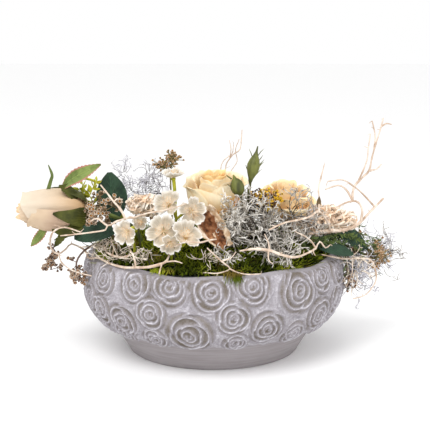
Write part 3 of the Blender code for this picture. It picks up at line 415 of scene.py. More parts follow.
def concrete_finish():
    """Weathered concrete: painted shade darkens the hollows, whitewash on the crests, plain on the foot.
    """
    paint = Paint("whitewashed_concrete", Roughness=0.9, Specular_IOR_Level=0.2)
    grain = paint.cloud(900.0, 4.0)
    blotch = paint.cloud(70.0, 4.0)
    streaks = paint.cloud(60.0, 4.0, (0.4, 0.4, 9.0))
    patch = paint.cloud(260.0, 4.0)
    wash = paint.kept("chalk") * (0.45 + patch * 1.1) + (blotch - 0.5) * 0.4 + (grain - 0.5) * 0.9
    plain = paint.mix(streaks.between(0.3, 0.7), shade(150, 144, 145), shade(164, 158, 160))
    # The hollow colour, darker than the plain concrete of the foot, is painted shade in the recesses of
    # the cast roses.
    hollow = paint.mix(blotch.between(0.3, 0.7), shade(108, 99, 89), shade(134, 126, 118))
    body = paint.mix(wash.between(-0.1, 0.5), hollow, shade(154, 149, 154))
    body = paint.mix(wash.between(0.45, 1.1), body, shade(209, 206, 213))
    paint.colour(paint.mix(paint.kept("foot"), body, plain))
    paint.relief(grain * 0.7 + streaks * paint.kept("foot") * 0.3, 0.0007)
    return paint.material


def film_finish():
    """Creased black plastic film."""
    paint = Paint("black_film", Specular_IOR_Level=0.6)
    creases = paint.cloud(120.0, 3.0, (1.0, 1.0, 0.3))
    paint.colour(paint.mix(creases, shade(18, 19, 20), shade(46, 48, 50)))
    paint.roughness(0.25 + creases * 0.3)
    paint.relief(creases, 0.002)
    return paint.material


def foam_finish():
    """Green floral foam with fine cells."""
    paint = Paint("floral_foam", Roughness=0.95)
    cells = paint.cloud(900.0, 2.0)
    paint.colour(paint.mix(cells.between(0.35, 0.65), shade(34, 66, 42), shade(66, 108, 72)))
    paint.relief(cells, 0.001)
    return paint.material


def moss_finish():
    """Fronds from dark feet, partly painted shade among them, to yellow-green tips, dry and brown in
    patches.
    """
    paint = Paint("moss_fronds", Roughness=0.9, Specular_IOR_Level=0.08)
    clump = paint.cloud(42.0, 3.0)
    dry = paint.cloud(26.0, 3.0).between(0.54, 0.68)
    tip = paint.kept("along")
    # The near-black foot colours are partly the moss's own colour and partly painted shade under the
    # fronds.
    fresh = paint.mix(tip.between(0.25, 0.95), shade(30, 38, 6), shade(188, 200, 56))
    deep = paint.mix(tip.between(0.35, 1.0), shade(18, 24, 4), shade(92, 106, 20))
    green = paint.mix(clump.between(0.42, 0.62), deep, fresh)
    paint.colour(paint.mix(dry, green, paint.mix(tip, shade(52, 40, 16), shade(150, 124, 60))))
    return paint.material


def shaded_moss_floor_finish():
    """The dark floor under the fronds: painted shade in the gaps between them."""
    paint = Paint("moss_floor", Roughness=1.0)
    clump = paint.cloud(160.0, 4.0)
    # The dark stops are painted shade seen between the fronds.
    stops = ((0.3, shade(14, 18, 6)), (0.55, shade(38, 48, 16)), (0.8, shade(70, 58, 30)))
    paint.colour(paint.ramp(clump, *stops))
    paint.relief(clump, 0.003)
    return paint.material


def petal_finish(name, lip, body, depth, gold):
    """Woven polyester petals: a pale lip, part painted highlight, and a warm deep foot, part painted
    shade.
    """
    paint = Paint(name, Roughness=0.62, Specular_IOR_Level=0.25, Subsurface_Weight=0.15,
                  Subsurface_Radius=(0.003, 0.003, 0.003), Subsurface_Scale=1.0)
    up = paint.along()
    veins = ((paint.across() * 90.0 + paint.cloud(30.0) * 6.0).wave() * 0.5 + 0.5) * up
    blush = paint.cloud(55.0, 2.0)
    # The depth colour at the foot is partly the petals' own warmth and partly painted shade in the
    # creases.
    warm = paint.mix(up.between(0.05, gold + 0.35), shade(*depth), shade(*body))
    # The pale lip colour is partly own colour and partly a painted highlight on the petal edges.
    pale = paint.mix((up + (blush - 0.5) * 0.5).between(0.55, 1.0), warm, shade(*lip))
    paint.colour(paint.mix(veins * 0.10, pale, shade(*body)))
    paint.relief(veins * 0.15 + paint.cloud(1400.0, 1.0), 0.00015)
    return paint.material


def plain_leaf_finish(name, low, high, rim=None, roughness=0.55):
    """A printed cloth leaf with a pale midrib and side veins that leave it at a slant."""
    paint = Paint(name, Roughness=roughness, Specular_IOR_Level=0.35)
    off = (paint.across() - 0.5).size() * 2.0
    side = ((paint.along() * 46.0 - off * 16.0).wave() * 0.5 + 0.5) ** 6.0
    rib = 1.0 - off.between(0.0, 0.10)
    body = paint.mix(paint.cloud(90.0, 3.0).between(0.3, 0.7), shade(*low), shade(*high))
    pale = [min(1.0, channel * 1.7) for channel in shade(*high)]
    lined = paint.mix(side * 0.16 + rib * 0.45, body, pale)
    if rim:
        edge = off + (paint.cloud(80.0) - 0.5) * 0.3
        lined = paint.mix(edge.between(0.78, 0.98), lined, shade(*rim))
    paint.colour(lined)
    paint.relief(side * 0.6 + rib + paint.cloud(500.0) * 0.4, 0.0004)
    return paint.material


def sepal_finish():
    """Dark olive sepals with fine streaks along them."""
    paint = Paint("sepals", Roughness=0.55, Specular_IOR_Level=0.35)
    streaks = (paint.across() * 70.0 + paint.cloud(60.0) * 5.0).wave() * 0.5 + 0.5
    body = paint.mix(paint.cloud(70.0, 3.0).between(0.3, 0.7), shade(58, 62, 12), shade(98, 101, 33))
    paint.colour(paint.mix(streaks * 0.45, body, shade(45, 49, 10)))
    paint.relief(streaks, 0.0003)
    return paint.material


def clouded_finish(name, low, high, scale, roughness, depth=0.0003, stretch=(1.0, 1.0, 1.0)):
    """A dry, matt finish that clouds between two colours."""
    paint = Paint(name, Roughness=roughness)
    cloud = paint.cloud(scale, 4.0, stretch)
    paint.colour(paint.mix(cloud.between(0.3, 0.7), shade(*low), shade(*high)))
    paint.relief(cloud, depth)
    return paint.material


def silver_finish(name, root, low, high):
    """Felted wire: dark at its root, and clouded between two colours above it."""
    paint = Paint(name, Roughness=0.8, Specular_IOR_Level=0.2)
    cloud = paint.cloud(150.0, 3.0)
    felt = paint.mix(cloud.between(0.35, 0.65), shade(*low), shade(*high))
    paint.colour(paint.mix(paint.kept("along").between(-0.1, 0.35), shade(*root), felt))
    return paint.material


def blossom_finish():
    """Thin white translucent silk: lobes greyed with painted shade, frilled white edges and a peach
    throat.
    """
    paint = Paint("blossom_silk", Roughness=0.55, Specular_IOR_Level=0.25, Subsurface_Weight=0.35,
                  Subsurface_Radius=(0.002, 0.002, 0.002), Subsurface_Scale=1.0)
    out = paint.along()
    veins = paint.cloud(210.0, 4.0)
    rays = (paint.across() * 44.0 + paint.cloud(90.0) * 5.0).wave() * 0.5 + 0.5
    throat = paint.mix(out.between(0.02, 0.3), shade(232, 172, 112), shade(238, 217, 190))
    # The greyish lobe colour is painted shade on the white silk.
    lobe = paint.mix((out + (veins - 0.5) * 0.4).between(0.3, 0.7), throat, shade(200, 188, 168))
    lobe = paint.mix(rays * veins.between(0.4, 0.7) * 0.45, lobe, shade(164, 146, 122))
    paint.colour(paint.mix((out + (veins - 0.5) * 0.2).between(0.74, 1.0), lobe, shade(246, 241, 233)))
    paint.relief(veins + rays * 0.3, 0.0008)
    return paint.material


def dry_leaf_finish():
    """Brown in the hollow, part own colour and part painted shade, and pale tan round the rim."""
    paint = Paint("dry_leaf", Roughness=0.8)
    folds = paint.cloud(170.0, 4.0)
    across = paint.across()
    along = paint.along()
    # The dark brown that fills the hollow is partly the leaf's colour and partly painted shade inside the
    # curl.
    stops = ((0.3, shade(48, 24, 12)), (0.5, shade(140, 88, 52)), (0.68, shade(190, 138, 96)))
    brown = paint.ramp(folds, *stops)
    pale = paint.mix(folds.between(0.35, 0.65), shade(206, 172, 134), shade(250, 236, 212))
    rim = across.between(0.7, 1.0) + (1.0 - across).between(0.72, 1.0) * (0.35 + along)
    rim = rim + (0.3 - along).between(0.0, 0.3) * 0.8 + (folds - 0.5) * 0.9
    paint.colour(paint.mix(rim.between(0.35, 0.7), brown, pale))
    paint.relief(folds, 0.0014)
    return paint.material


def stamen_finish():
    """Cream threads with tan tips."""
    paint = Paint("stamens", Roughness=0.7)
    tip = paint.kept("along").between(0.55, 0.9)
    paint.colour(paint.mix(tip, shade(252, 238, 212), shade(224, 176, 116)))
    return paint.material


CONCRETE = concrete_finish()
FILM = film_finish()
FOAM = foam_finish()
MOSS = moss_finish()
SHADED_MOSS_FLOOR = shaded_moss_floor_finish()
CREAM = petal_finish("cream_petals", (255, 240, 207), (255, 223, 163), (255, 178, 70), 0.55)
# Inner petals: a golden heart, deepened with painted shade inside the cup.
GOLD_AND_SHADE = petal_finish("gold_and_shade_petals", (255, 226, 166), (252, 197, 110), (238, 136, 28), 0.65)
# The bud's petals come in a darker copy as painted shade and a paler copy, for the upper petal, as
# painted light.
BUD_SHADED_CREAM = petal_finish("bud_petals", (209, 185, 156), (190, 162, 138), (190, 150, 112), 0.2)
BUD_PAINTED_LIGHT = petal_finish("painted_light_bud_petals", (216, 201, 180), (210, 191, 168), (204, 166, 122), 0.4)
PEACH = petal_finish("peach_petals", (255, 232, 188), (250, 211, 148), (240, 156, 62), 0.55)
BUD_HEART = petal_finish("bud_heart_petals", (238, 204, 162), (232, 182, 118), (222, 142, 60), 0.3)
ROSE_LEAF = plain_leaf_finish("rose_leaf", (82, 98, 40), (124, 140, 72), (176, 116, 104))
SEPAL = sepal_finish()
ROSE_STEM = clouded_finish("rose_stem", (62, 74, 24), (104, 120, 52), 90.0, 0.6)
BUD_GREEN = clouded_finish("green_bud", (58, 62, 16), (108, 112, 44), 150.0, 0.55, 0.0006, (1, 1, 0.25))
BLUE_LEAF = plain_leaf_finish("blue_green_leaf", (20, 44, 30), (40, 68, 47), None, 0.6)
LIME = clouded_finish("lime_stem", (138, 142, 16), (200, 198, 54), 80.0, 0.5)
BLOSSOM = blossom_finish()
STAMEN = stamen_finish()
BLEACHED = clouded_finish("bleached_bark", (186, 158, 134), (236, 220, 204), 130.0, 0.75, 0.0008,
                          (1, 1, 0.5))
SILVER = silver_finish("silver_felt", (92, 80, 64), (154, 146, 135), (239, 235, 228))
LICHEN = silver_finish("thin_silver_felt", (158, 154, 156), (186, 184, 192), (228, 227, 234))
PALE_LICHEN = silver_finish("pale_lichen", (176, 160, 142), (214, 198, 178), (247, 237, 225))
THIN_TWIG = silver_finish("thin_grey_twig", (102, 94, 86), (134, 128, 122), (206, 201, 195))
DRY_STEM = clouded_finish("dried_stem", (84, 66, 40), (146, 122, 86), 200.0, 0.85)
OLIVE_STEM = clouded_finish("olive_dried_stem", (78, 74, 34), (142, 130, 76), 200.0, 0.85)
# Dark green painted shade on the twigs' planted feet and the hearts of their pale tufts.
FOOT_AND_HEART_SHADE = clouded_finish("painted_shade_foot_and_heart", (40, 44, 20), (78, 74, 40), 120.0, 0.8)
# Dark old stems, and the dark hearts of the bushes, which are painted shade.
OLD_WOOD_AND_SHADE = clouded_finish("old_wood_and_painted_shade", (20, 15, 10), (60, 48, 36), 120.0, 0.9)
DRY_RIM = clouded_finish("dried_petal", (166, 140, 116), (226, 209, 190), 300.0, 0.8)
TAN_RIM = clouded_finish("tan_dried_petal", (184, 144, 110), (232, 200, 172), 300.0, 0.8)
PLUM_STEM = clouded_finish("plum_dried_stem", (80, 60, 50), (134, 108, 96), 200.0, 0.85)
SMALL_GREEN = clouded_finish("small_leaves", (42, 60, 26), (108, 126, 60), 200.0, 0.7)
DRY_EYE = clouded_finish("dried_eye", (140, 78, 20), (222, 146, 52), 400.0, 0.8)
DRY_LEAF = dry_leaf_finish()
SHAVING = clouded_finish("wood_shaving", (246, 216, 186), (255, 248, 236), 60.0, 0.7, 0.0006, (1, 1, 4))
# Dark brown rosettes inside the strips: partly the shavings' own brown, partly painted shade between
# them.
SHAVING_HEART_SHADE = clouded_finish("shaving_heart_shade", (120, 82, 54), (192, 150, 116), 60.0, 0.8, 0.0006,
                               (1, 1, 4))
YELLOW = clouded_finish("yellow_floret", (218, 164, 14), (252, 218, 64), 200.0, 0.7)
BROWN_BIT = clouded_finish("brown_floret", (54, 36, 22), (108, 74, 46), 200.0, 0.85)


# Bowl


BELLY_RADIUS = 138.0
BELLY_HEIGHT = 75.0
FOOT_TOP = 27.0
RIM_START = 104.0
# The foot, the rim and the inside of the wall, as (radius, height)
FOOT = [(0.0, 0.0), (90.5, 0.0), (92.0, 0.8), (93.0, 3.0), (96.6, 9.0), (101.5, 17.0), (106.5, 26.0)]
RIM = [(129.9, 105.4), (129.2, 106.4), (128.0, 107.0), (126.6, 107.1), (125.4, 106.7), (124.4, 105.6),
       (124.0, RIM_START)]
WALL_INSIDE = [(126.0, 90.0), (124.0, 58.0), (88.0, 10.0), (0.0, 10.0)]
# Cast roses: degrees round the bowl from its front, height and size, in millimetres
CAST_ROSES = [
    (-53.3, 93.4, 16.5), (-34.2, 94.6, 17.5), (-17.5, 97.4, 18.5), (-0.7, 92.8, 18.5), (16.4, 97.1, 17.5),
    (37.9, 87.7, 21.0), (53.0, 96.5, 17.5), (-56.5, 60.6, 16.0), (-42.4, 54.6, 17.5), (-26.4, 68.6, 16.5),
    (-10.2, 49.0, 23.0), (8.1, 67.5, 16.5), (22.9, 54.0, 17.5), (51.6, 57.1, 18.0), (-26.7, 40.9, 14.0),
    (38.2, 43.0, 14.5), (9.9, 40.4, 13.0),
]
# Rows round the rest: count, first degrees, step, heights by turns, play of the height, sizes
CAST_ROWS = [
    (14, 71.0, 16.75, (94.0, 94.0), (-3, 3), (16.5, 19.5)),
    (15, 67.0, 16.2, (66.0, 53.0), (-2, 2), (16.5, 20.0)),
    (16, 60.0, 17.0, (39.5, 39.5), (-1.5, 2), (13.0, 14.5)),
]
# Lip radius as a share of the rose's size, petals round it, how far the lip stands out
PETAL_RINGS = [(0.13, 1, 0.7), (0.30, 2, 0.9), (0.55, 3, 1.0), (0.88, 3, 1.0), (1.2, 3, 0.75)]


def body_radius(height):
    """The bowl's outer radius in millimetres: one arc below the belly and one above it."""
    rise = height - BELLY_HEIGHT
    drop, reach = (50.0, 52.0) if rise < 0 else (25.0, 45.0)
    return BELLY_RADIUS - drop * (1.0 - math.sqrt(1.0 - (rise / reach) ** 2))


def cast_rose_places():
    """The roses seen on the front, and like rows of them round the rest of the bowl."""
    draw = random.Random(5)
    places = list(CAST_ROSES)
    for count, first, step, heights, play, sizes in CAST_ROWS:
        for index in range(count):
            height = heights[index % 2] + draw.uniform(*play)
            places.append((first + step * index, height, draw.uniform(*sizes)))
    return places


def petal_lips(x, y, size, draw):
    """Relief and chalk of one cast rose at places given as shares of its size."""
    out = np.zeros(x.shape)
    chalk = np.zeros(x.shape)
    angle = np.arctan2(y, x)
    for ring, (lip, petals, stand) in enumerate(PETAL_RINGS):
        start = draw.uniform(0.0, TAU)
        for index in range(petals):
            middle = start + TAU * index / petals + draw.uniform(-0.2, 0.2)
            shift = lip * (0.24 if petals > 1 else 0.3)
            radius = lip * draw.uniform(0.76, 0.84)
            away = np.hypot(x - shift * math.cos(middle), y - shift * math.sin(middle))
            gap = (radius - away) * size
            swing = (angle - middle + math.pi) % TAU - math.pi
            reach = math.pi / petals if petals > 1 else 2.0
            seen = eased(swing, -reach * 1.15, -reach * 0.85)
            seen = seen * (1.0 - eased(swing, reach * 1.1, reach * 1.55)) * stand
            crest = np.exp(-(gap / np.where(gap > 0.0, 1.15, 2.2)) ** 2)
            hollow = np.exp(-((gap - 2.6) / 1.6) ** 2)
            out = np.maximum(out, crest * seen) - 0.36 * hollow * seen * (ring > 1)
            slope = 0.5 * np.exp(-(gap / 2.4) ** 2) * (gap < 0.0)
            chalk = np.maximum(chalk, np.maximum(np.exp(-(gap / 0.8) ** 2), slope) * seen)
    return out, chalk


def cast_relief(turn, height, arc_at):
    """How far the cast roses stand out, in millimetres, and how white their crests are."""
    draw = random.Random(8)
    arc = arc_at(height)
    share = np.full(turn.shape, 9.0)
    owner = np.zeros(turn.shape, int)
    roses = []
    for number, (degrees, centre, size) in enumerate(cast_rose_places()):
        across = np.radians((turn - degrees + 180.0) % 360.0 - 180.0) * BELLY_RADIUS / size
        up = (arc - arc_at(centre)) / size
        off = np.hypot(across, up)
        owner = np.where(off < share, number, owner)
        share = np.minimum(off, share)
        roses.append((across, up, size))
    out = np.zeros(turn.shape)
    chalk = np.zeros(turn.shape)
    for number, (across, up, size) in enumerate(roses):
        own = owner == number
        out[own], chalk[own] = petal_lips(across[own], up[own], size, draw)
    dome = 1.7 * np.sqrt(np.clip(1.0 - (share / 1.3) ** 2, 0.0, 1.0))
    out = dome + 2.5 * out
    chalk = np.maximum(chalk, 0.66 * eased(share, 0.95, 1.3))
    around = np.radians(turn)
    ragged = 31.0 + 1.0 * np.sin(around * 23.0) + 0.8 * np.sin(around * 61.0 + 2.0)
    fade = eased(height, ragged - 2.0, ragged + 1.5)
    return out * fade, chalk * fade, 1.0 - fade


def rim_wave(angle):
    """How far the rim wavers up and down, in millimetres."""
    return 1.2 * np.sin(5 * angle + 1.0) + 0.8 * np.sin(11 * angle)


def body_heights():
    """Heights from the foot to the rim, about a millimetre apart along the wall."""
    heights = [FOOT_TOP + 0.5]
    while heights[-1] < RIM_START - 0.6:
        slope = (body_radius(heights[-1] + 0.1) - body_radius(heights[-1])) / 0.1
        heights.append(min(RIM_START, heights[-1] + 1.06 / math.hypot(1.0, slope)))
    return heights


def make_bowl():
    """The concrete bowl with its rows of cast roses, its plain foot and its wavering rim."""
    heights = body_heights()
    walls = [body_radius(height) for height in heights]
    columns = 720
    bm = turned(FOOT + list(zip(walls, heights)) + RIM + WALL_INSIDE, columns)
    bm.normal_update()
    places = np.array([vert.co for vert in bm.verts]) / MM
    normals = np.array([vert.normal for vert in bm.verts])
    angle = np.arctan2(places[:, 1], places[:, 0])
    turn = np.degrees(np.arctan2(places[:, 0], -places[:, 1]))
    radius = np.hypot(places[:, 0], places[:, 1])
    height = places[:, 2]
    spans = [math.hypot(body_radius(b) - body_radius(a), b - a) for a, b in zip(heights, heights[1:])]
    stations = np.cumsum([0.0] + spans)

    def arc_at(value):
        return np.interp(value, heights, stations)

    wall = np.interp(height, heights, walls)
    body = (height > FOOT_TOP) & (height < RIM_START + 0.2) & (radius > wall - 1.0)
    out, chalk, foot = cast_relief(turn, height, arc_at)
    fade_top = 1.0 - eased(height, 101.5, 104.5)
    out = np.where(body, out * (0.3 + 0.7 * fade_top), 0.0)
    chalk = np.where(body, chalk, np.where(height > RIM_START, 0.45, 0.0))
    foot = np.where(body, foot, np.where(height > 90.0, 0.0, 1.0))
    places += normals * out[:, None]
    rim = (radius > 120.1) & (height > RIM_START - 1.0)
    places[:, 2] += np.where(rim, rim_wave(angle), 0.0)
    chalk_layer = bm.verts.layers.float.new("chalk")
    foot_layer = bm.verts.layers.float.new("foot")
    for vert, place, white, plain in zip(bm.verts, places * MM, chalk, foot):
        vert.co = place
        vert[chalk_layer] = white
        vert[foot_layer] = plain
    show("rose_cast_bowl", bm, [CONCRETE], ["bowl"], 75.0)


# Moss


MOSS_RADIUS = 119.5
MOSS_BOTTOM = 98.4
GOLDEN_ANGLE = 2.399963
# Fronds over the rim: degrees round from the front, their spread, their number and how far they hang
OVERHANGS = [
    (9.0, 1.7, 90, 1.0), (-14.0, 6.0, 60, 0.35), (-25.0, 4.0, 60, 0.3), (33.0, 5.0, 40, 0.3),
    (-50.0, 8.0, 90, 0.2), (-75.0, 9.0, 100, 0.15), (-103.0, 13.0, 170, 0.0),
]


def moss_height(x, y):
    """The top of the moss in millimetres: a low dome with soft lumps."""
    share = min(1.0, math.hypot(x, y) / MOSS_RADIUS)
    lumps = 2.2 * math.sin(x * 0.09 + 1.3) * math.sin(y * 0.11 + 0.4)
    lumps += 1.5 * math.sin(x * 0.19 + y * 0.07) * math.cos(y * 0.17)
    return MOSS_BOTTOM + 5.5 + 21.0 * (1.0 - share ** 2.4) + lumps * (1.1 - share)


def make_moss():
    """The moss: a bed dark with painted shade under tufts of green fronds, some of them over the rim."""
    outline = [(0.0, 98.5), (117.5, 98.5), (MOSS_RADIUS, 101.5)]
    outline += [(MOSS_RADIUS * (1.0 - ring / 24), 110.0) for ring in range(25)]
    bm = turned(outline, 96)
    for vert in bm.verts:
        if vert.co.z > 109.0 * MM:
            x, y = vert.co.x / MM, vert.co.y / MM
            vert.co.z = (moss_height(x, y) - 3.2 + 1.3 * noise.noise(Vector((x, y, 0.0)) * 0.2)) * MM
    with_finish(bm, 1)
    draw = random.Random(14)
    runs = []
    tufts = 1000
    for index in range(tufts):
        spin = index * GOLDEN_ANGLE
        far = MOSS_RADIUS * math.sqrt((index + 0.5) / tufts)
        x = far * math.cos(spin) + draw.uniform(-2, 2)
        y = far * math.sin(spin) + draw.uniform(-2, 2)
        edge = max(0.0, far / MOSS_RADIUS - 0.9) * 10
        root = Vector((x, y, moss_height(x, y) - 3.5 + 2.0 * edge))
        lean = Vector((x, y, 0.0)).normalized() * 0.5 * edge + UP
        tall = max(0.7, 1.15 + 1.0 * noise.noise(Vector((x, y, 4.0)) * 0.07))
        for _ in range(13):
            out = (any_way(draw) * 0.9 + lean).normalized()
            length = draw.uniform(4.0, 11.5) * tall
            droop = Vector((out.x, out.y, -0.2)) * length * 0.3
            start = root + any_way(draw) * 1.4
            middle = start + out * length * 0.55
            runs.append(in_metres(start, middle, start + out * length + droop))
    for degrees, spread, count, hang in OVERHANGS:
        for _ in range(count):
            turn = math.radians(degrees + draw.gauss(0.0, spread) - 90.0)
            way = Vector((math.cos(turn), math.sin(turn), 0.0))
            reach = draw.uniform(0.3, 1.0) * hang
            start = way * 119.0 + UP * 106.0 + any_way(draw) * 2.0
            over = way * (124.0 + 9.0 * reach) + UP * (111.5 - 2.0 * reach) + any_way(draw) * 1.8
            end = way * (126.0 + 13.0 * reach) + UP * (112.0 - 12.0 * reach) + any_way(draw) * 3.0
            runs.append(in_metres(start, over, end))
    Strand(3, 2, 0).strew(bm, runs, [[0.5 * MM, 0.55 * MM, 0.14 * MM]] * len(runs), 0.5)
    show("moss_tufts", bm, [MOSS, SHADED_MOSS_FLOOR], ["moss_bed"], 40.0)


def make_bed():
    """The bowl, its black film, its foam and the moss."""
    make_bowl()
    for name, finish, slot in (("film_liner", FILM, "black_film"), ("floral_foam", FOAM, "foam")):
        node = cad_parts[name]
        node.data.materials.clear()
        node.data.materials.append(finish)
    make_moss()


# Blades


def laid(run, share):
    """The place at a share of a run's length."""
    place = min(max(share, 0.0), 1.0) * (len(run) - 1)
    index = min(int(place), len(run) - 2)
    return run[index].lerp(run[index + 1], place - index)


def petal(frame_at, degrees, outline, half, draw, shift=1.3, ruffle=0.7, across=16, along=13,
          round_off=0.24, thickness=0.45, finish=0, slant=0.0, fold=0.0):
    """A petal whose midline follows the outline of (radius, height); 0 degrees is the frame's -Y.

    A slant above 0 leaves its lip lower on the left and one below 0 on the right. A fold presses soft
    lengthwise hollows of that depth into it.
    """
    run = curve_through(route(*[(radius, 0.0, height) for radius, height in outline]), 2.0 * MM)
    middle = math.radians(degrees - 90.0)
    half = math.radians(half)
    phase = draw.uniform(0.0, TAU)
    lean = draw.uniform(-0.1, 0.1)

    def shape(s, t):
        spot = laid(run, t * (1.0 - round_off * abs(s) ** 2.2 - 0.5 * (abs(slant) - slant * s)))
        width = half * (0.45 + 0.55 * math.sin(math.pi / 2 * min(1.0, t * 1.45)))
        angle = middle + s * width + lean * t
        wave = ruffle * t ** 3 * (1.0 - 0.5 * abs(s) ** 4)
        radius = spot.x + (shift * s * min(1.0, 0.45 + t * 1.6) + wave * math.sin(4.3 * s + phase)) * MM
        pressed = 1.35 - math.sin(8.5 * s + 2.5 * t + 3.0 * phase)
        pressed -= 0.35 * math.sin(17.0 * s - 4.0 * t + phase)
        radius -= 0.5 * fold * pressed * min(1.0, 3.0 * t) * MM
        height = spot.z + (0.9 * wave * math.sin(5.9 * s + 2.0 * phase)) * MM
        return frame_at @ Vector((radius * math.cos(angle), radius * math.sin(angle), height))

    return sheet(shape, across, along, thickness * MM, finish)


def blade(places, widths, normal, cup=0.0, teeth=0, bite=0.14, wave=0.0, across=8, along=26,
          thickness=0.5, finish=0):
    """A leaf along its midrib, with its widths in millimetres, cupped sides and a toothed edge."""
    run = curve_through(route(*places), 1.5 * MM)
    ways = directions_of(run)
    normal = Vector(normal)
    marks = np.linspace(0.0, 1.0, len(widths))

    def shape(s, t):
        way = laid(ways, t).normalized()
        side = way.cross(normal).normalized()
        face = side.cross(way)
        half = float(np.interp(t, marks, widths)) / 2.0
        if teeth:
            half *= 1.0 + bite * (0.5 - (t * teeth) % 1.0) * abs(s) ** 8
        lift = cup * half * s * s + wave * math.sin(9.0 * t + 2.0 * s) * abs(s)
        return laid(run, t) + side * (s * half * MM) + face * (lift * MM)

    return sheet(shape, across, along, thickness * MM, finish)


def stem(places, thick, thin=None, sides=8, spacing=4.0, draw=None, finish=0, swell=False):
    """A smooth stem through the places, a little uneven where a draw is given."""
    run = curve_through(route(*places), spacing * MM)
    radii = [value * MM for value in tapered(run, thick, thin if thin else thick)]
    if swell:
        radii = [radius * min(1.0, 0.5 + 0.1 * index) for index, radius in enumerate(radii)]
    if draw:
        radii = [radius * draw.uniform(0.84, 1.2) for radius in radii]
    return with_finish(tube(run, radii, sides), finish)


def leafy_sprig(places, length, width, count, draw, finishes):
    """A thin stem with little leaves that stand out all round it."""
    parts = [stem(places, 0.7, 0.35, 5, finish=finishes[0])]
    run = curve_through(route(*places), 2.0 * MM)
    ways = directions_of(run)
    for index in range(count):
        share = 0.12 + 0.88 * index / count
        way = laid(ways, share).normalized()
        out = any_way(draw)
        out = (out - way * out.dot(way)).normalized()
        root = laid(run, share) / MM
        reach = length * draw.uniform(0.7, 1.15) * (1.0 - 0.35 * share)
        tip = root + (way * draw.uniform(0.4, 1.0) + out * 0.9).normalized() * reach
        places = [tuple(root), tuple(root.lerp(tip, 0.5) + out * 0.2), tuple(tip)]
        parts.append(blade(places, [0.4, width, width * 0.8, 0.2], any_way(draw), 0.2, across=2, along=4,
                           thickness=0.3, finish=finishes[1]))
    return parts


# Roses


def ring_of(frame_at, count, start, outline, half, draw, **looks):
    """Petals spaced round the axis, each a little different."""
    petals = []
    for index in range(count):
        degrees = start + 360.0 * index / count + draw.uniform(-6, 6)
        grown = [(r + draw.uniform(-0.5, 0.5), z + draw.uniform(-0.6, 0.6)) for r, z in outline]
        petals.append(petal(frame_at, degrees, grown, half, draw, **looks))
    return petals


def make_open_rose():
    """The large open rose: reflexed outer petals, cupped inner ones and a tight golden heart, part
    painted shade.
    """
    draw = random.Random(3)
    base = frame_along(at(3, -36, 147), (-0.03, -0.16, 1.0)) @ Matrix.Diagonal((1.05, 1.05, 1.09, 1.0))
    petals = [
        petal(base, 8, [(4, 1), (15, 1.5), (24, 4), (29, 8), (33, 9), (35, 6)], 44, draw, 1.0, 0.9),
        petal(base, 34, [(4, 2), (16, 4), (26, 9), (31, 15), (33.5, 21), (37, 24), (39, 22)], 54, draw,
              1.2, 1.0, 20, 15, 0.2, slant=0.34),
        petal(base, -52, [(4, 3), (17, 6), (26, 13), (28, 24), (28, 33), (30, 37.5), (32.5, 37)], 42,
              draw, 1.3, 0.8),
        petal(base, -6, [(4, 4), (15, 8), (23, 16), (26, 26), (26, 35), (28, 39), (31, 38)], 62, draw,
              1.3, 0.5, 22, 16, 0.2, slant=-0.4),
        petal(base, 30, [(4, 4), (14, 8), (20, 16), (22.5, 27), (22, 36), (23.5, 41), (25.5, 41)], 56,
              draw, 1.2, 0.7, 18, 14, 0.2, slant=0.2),
        petal(base, -86, [(4, 2), (17, 6), (26, 16), (27.5, 26), (28.5, 33), (30.5, 35.5), (32, 34)], 40,
              draw),
        petal(base, 100, [(4, 2), (17, 6), (26, 16), (28, 28), (30, 35), (33, 36), (35, 33)], 40, draw),
        petal(base, 150, [(4, 2), (17, 6), (26, 16), (28, 28), (29, 36), (32, 38), (35, 37)], 42, draw),
        petal(base, 212, [(4, 2), (17, 6), (26, 16), (28, 28), (29, 36), (32, 38), (35, 36)], 42, draw),
    ]
    petals += ring_of(base, 5, 52, [(4, 5), (14, 10), (19, 22), (19.5, 34), (20, 39), (22.5, 41.5)], 46,
                      draw)
    petals += ring_of(base, 5, 20, [(4, 8), (11, 13), (15, 25), (15, 36), (15, 42), (17, 44.5)], 50, draw,
                      ruffle=0.9)
    # The three inner rings take finish 1, the golden copy that is partly painted shade.
    petals += ring_of(base, 4, 50, [(4, 10), (8, 14), (11, 26), (10.5, 37), (10.5, 43), (12.5, 46)], 60,
                      draw, ruffle=1.1, finish=1)
    petals += ring_of(base, 3, 0, [(3, 10), (5, 16), (6.5, 28), (6, 39), (6, 44), (7.5, 46.5)], 74, draw,
                      ruffle=1.1, finish=1)
    petals += ring_of(base, 2, 70, [(1.5, 12), (2.5, 20), (3, 30), (2.6, 40), (3.4, 45)], 100, draw,
                      ruffle=0.8, across=10, finish=1)
    show("open_rose_petals", joined(petals), [CREAM, GOLD_AND_SHADE], ["rose_open_bloom"])
    parts = [stem([(2, -30, ROOT), (2, -30, 122), (1.5, -33, 134), (0.2, -35.1, 145)], 2.6)]
    cup = [(0.0, -6.0), (2.8, -5.5), (5.0, -2.5), (6.0, 0.5), (0.0, 1.5)]
    parts.append(placed(turned(cup, 16), base))
    for index in range(5):
        parts.append(petal(base, 30 + 72 * index, [(4.5, -2), (11, -1.5), (18, 2), (24, 7)], 17, draw,
                           0.0, 0.3, 6, 10, 0.6, 0.5, 1))
    show("open_rose_stem", joined(parts), [ROSE_STEM, SEPAL], ["rose_open_stem"])


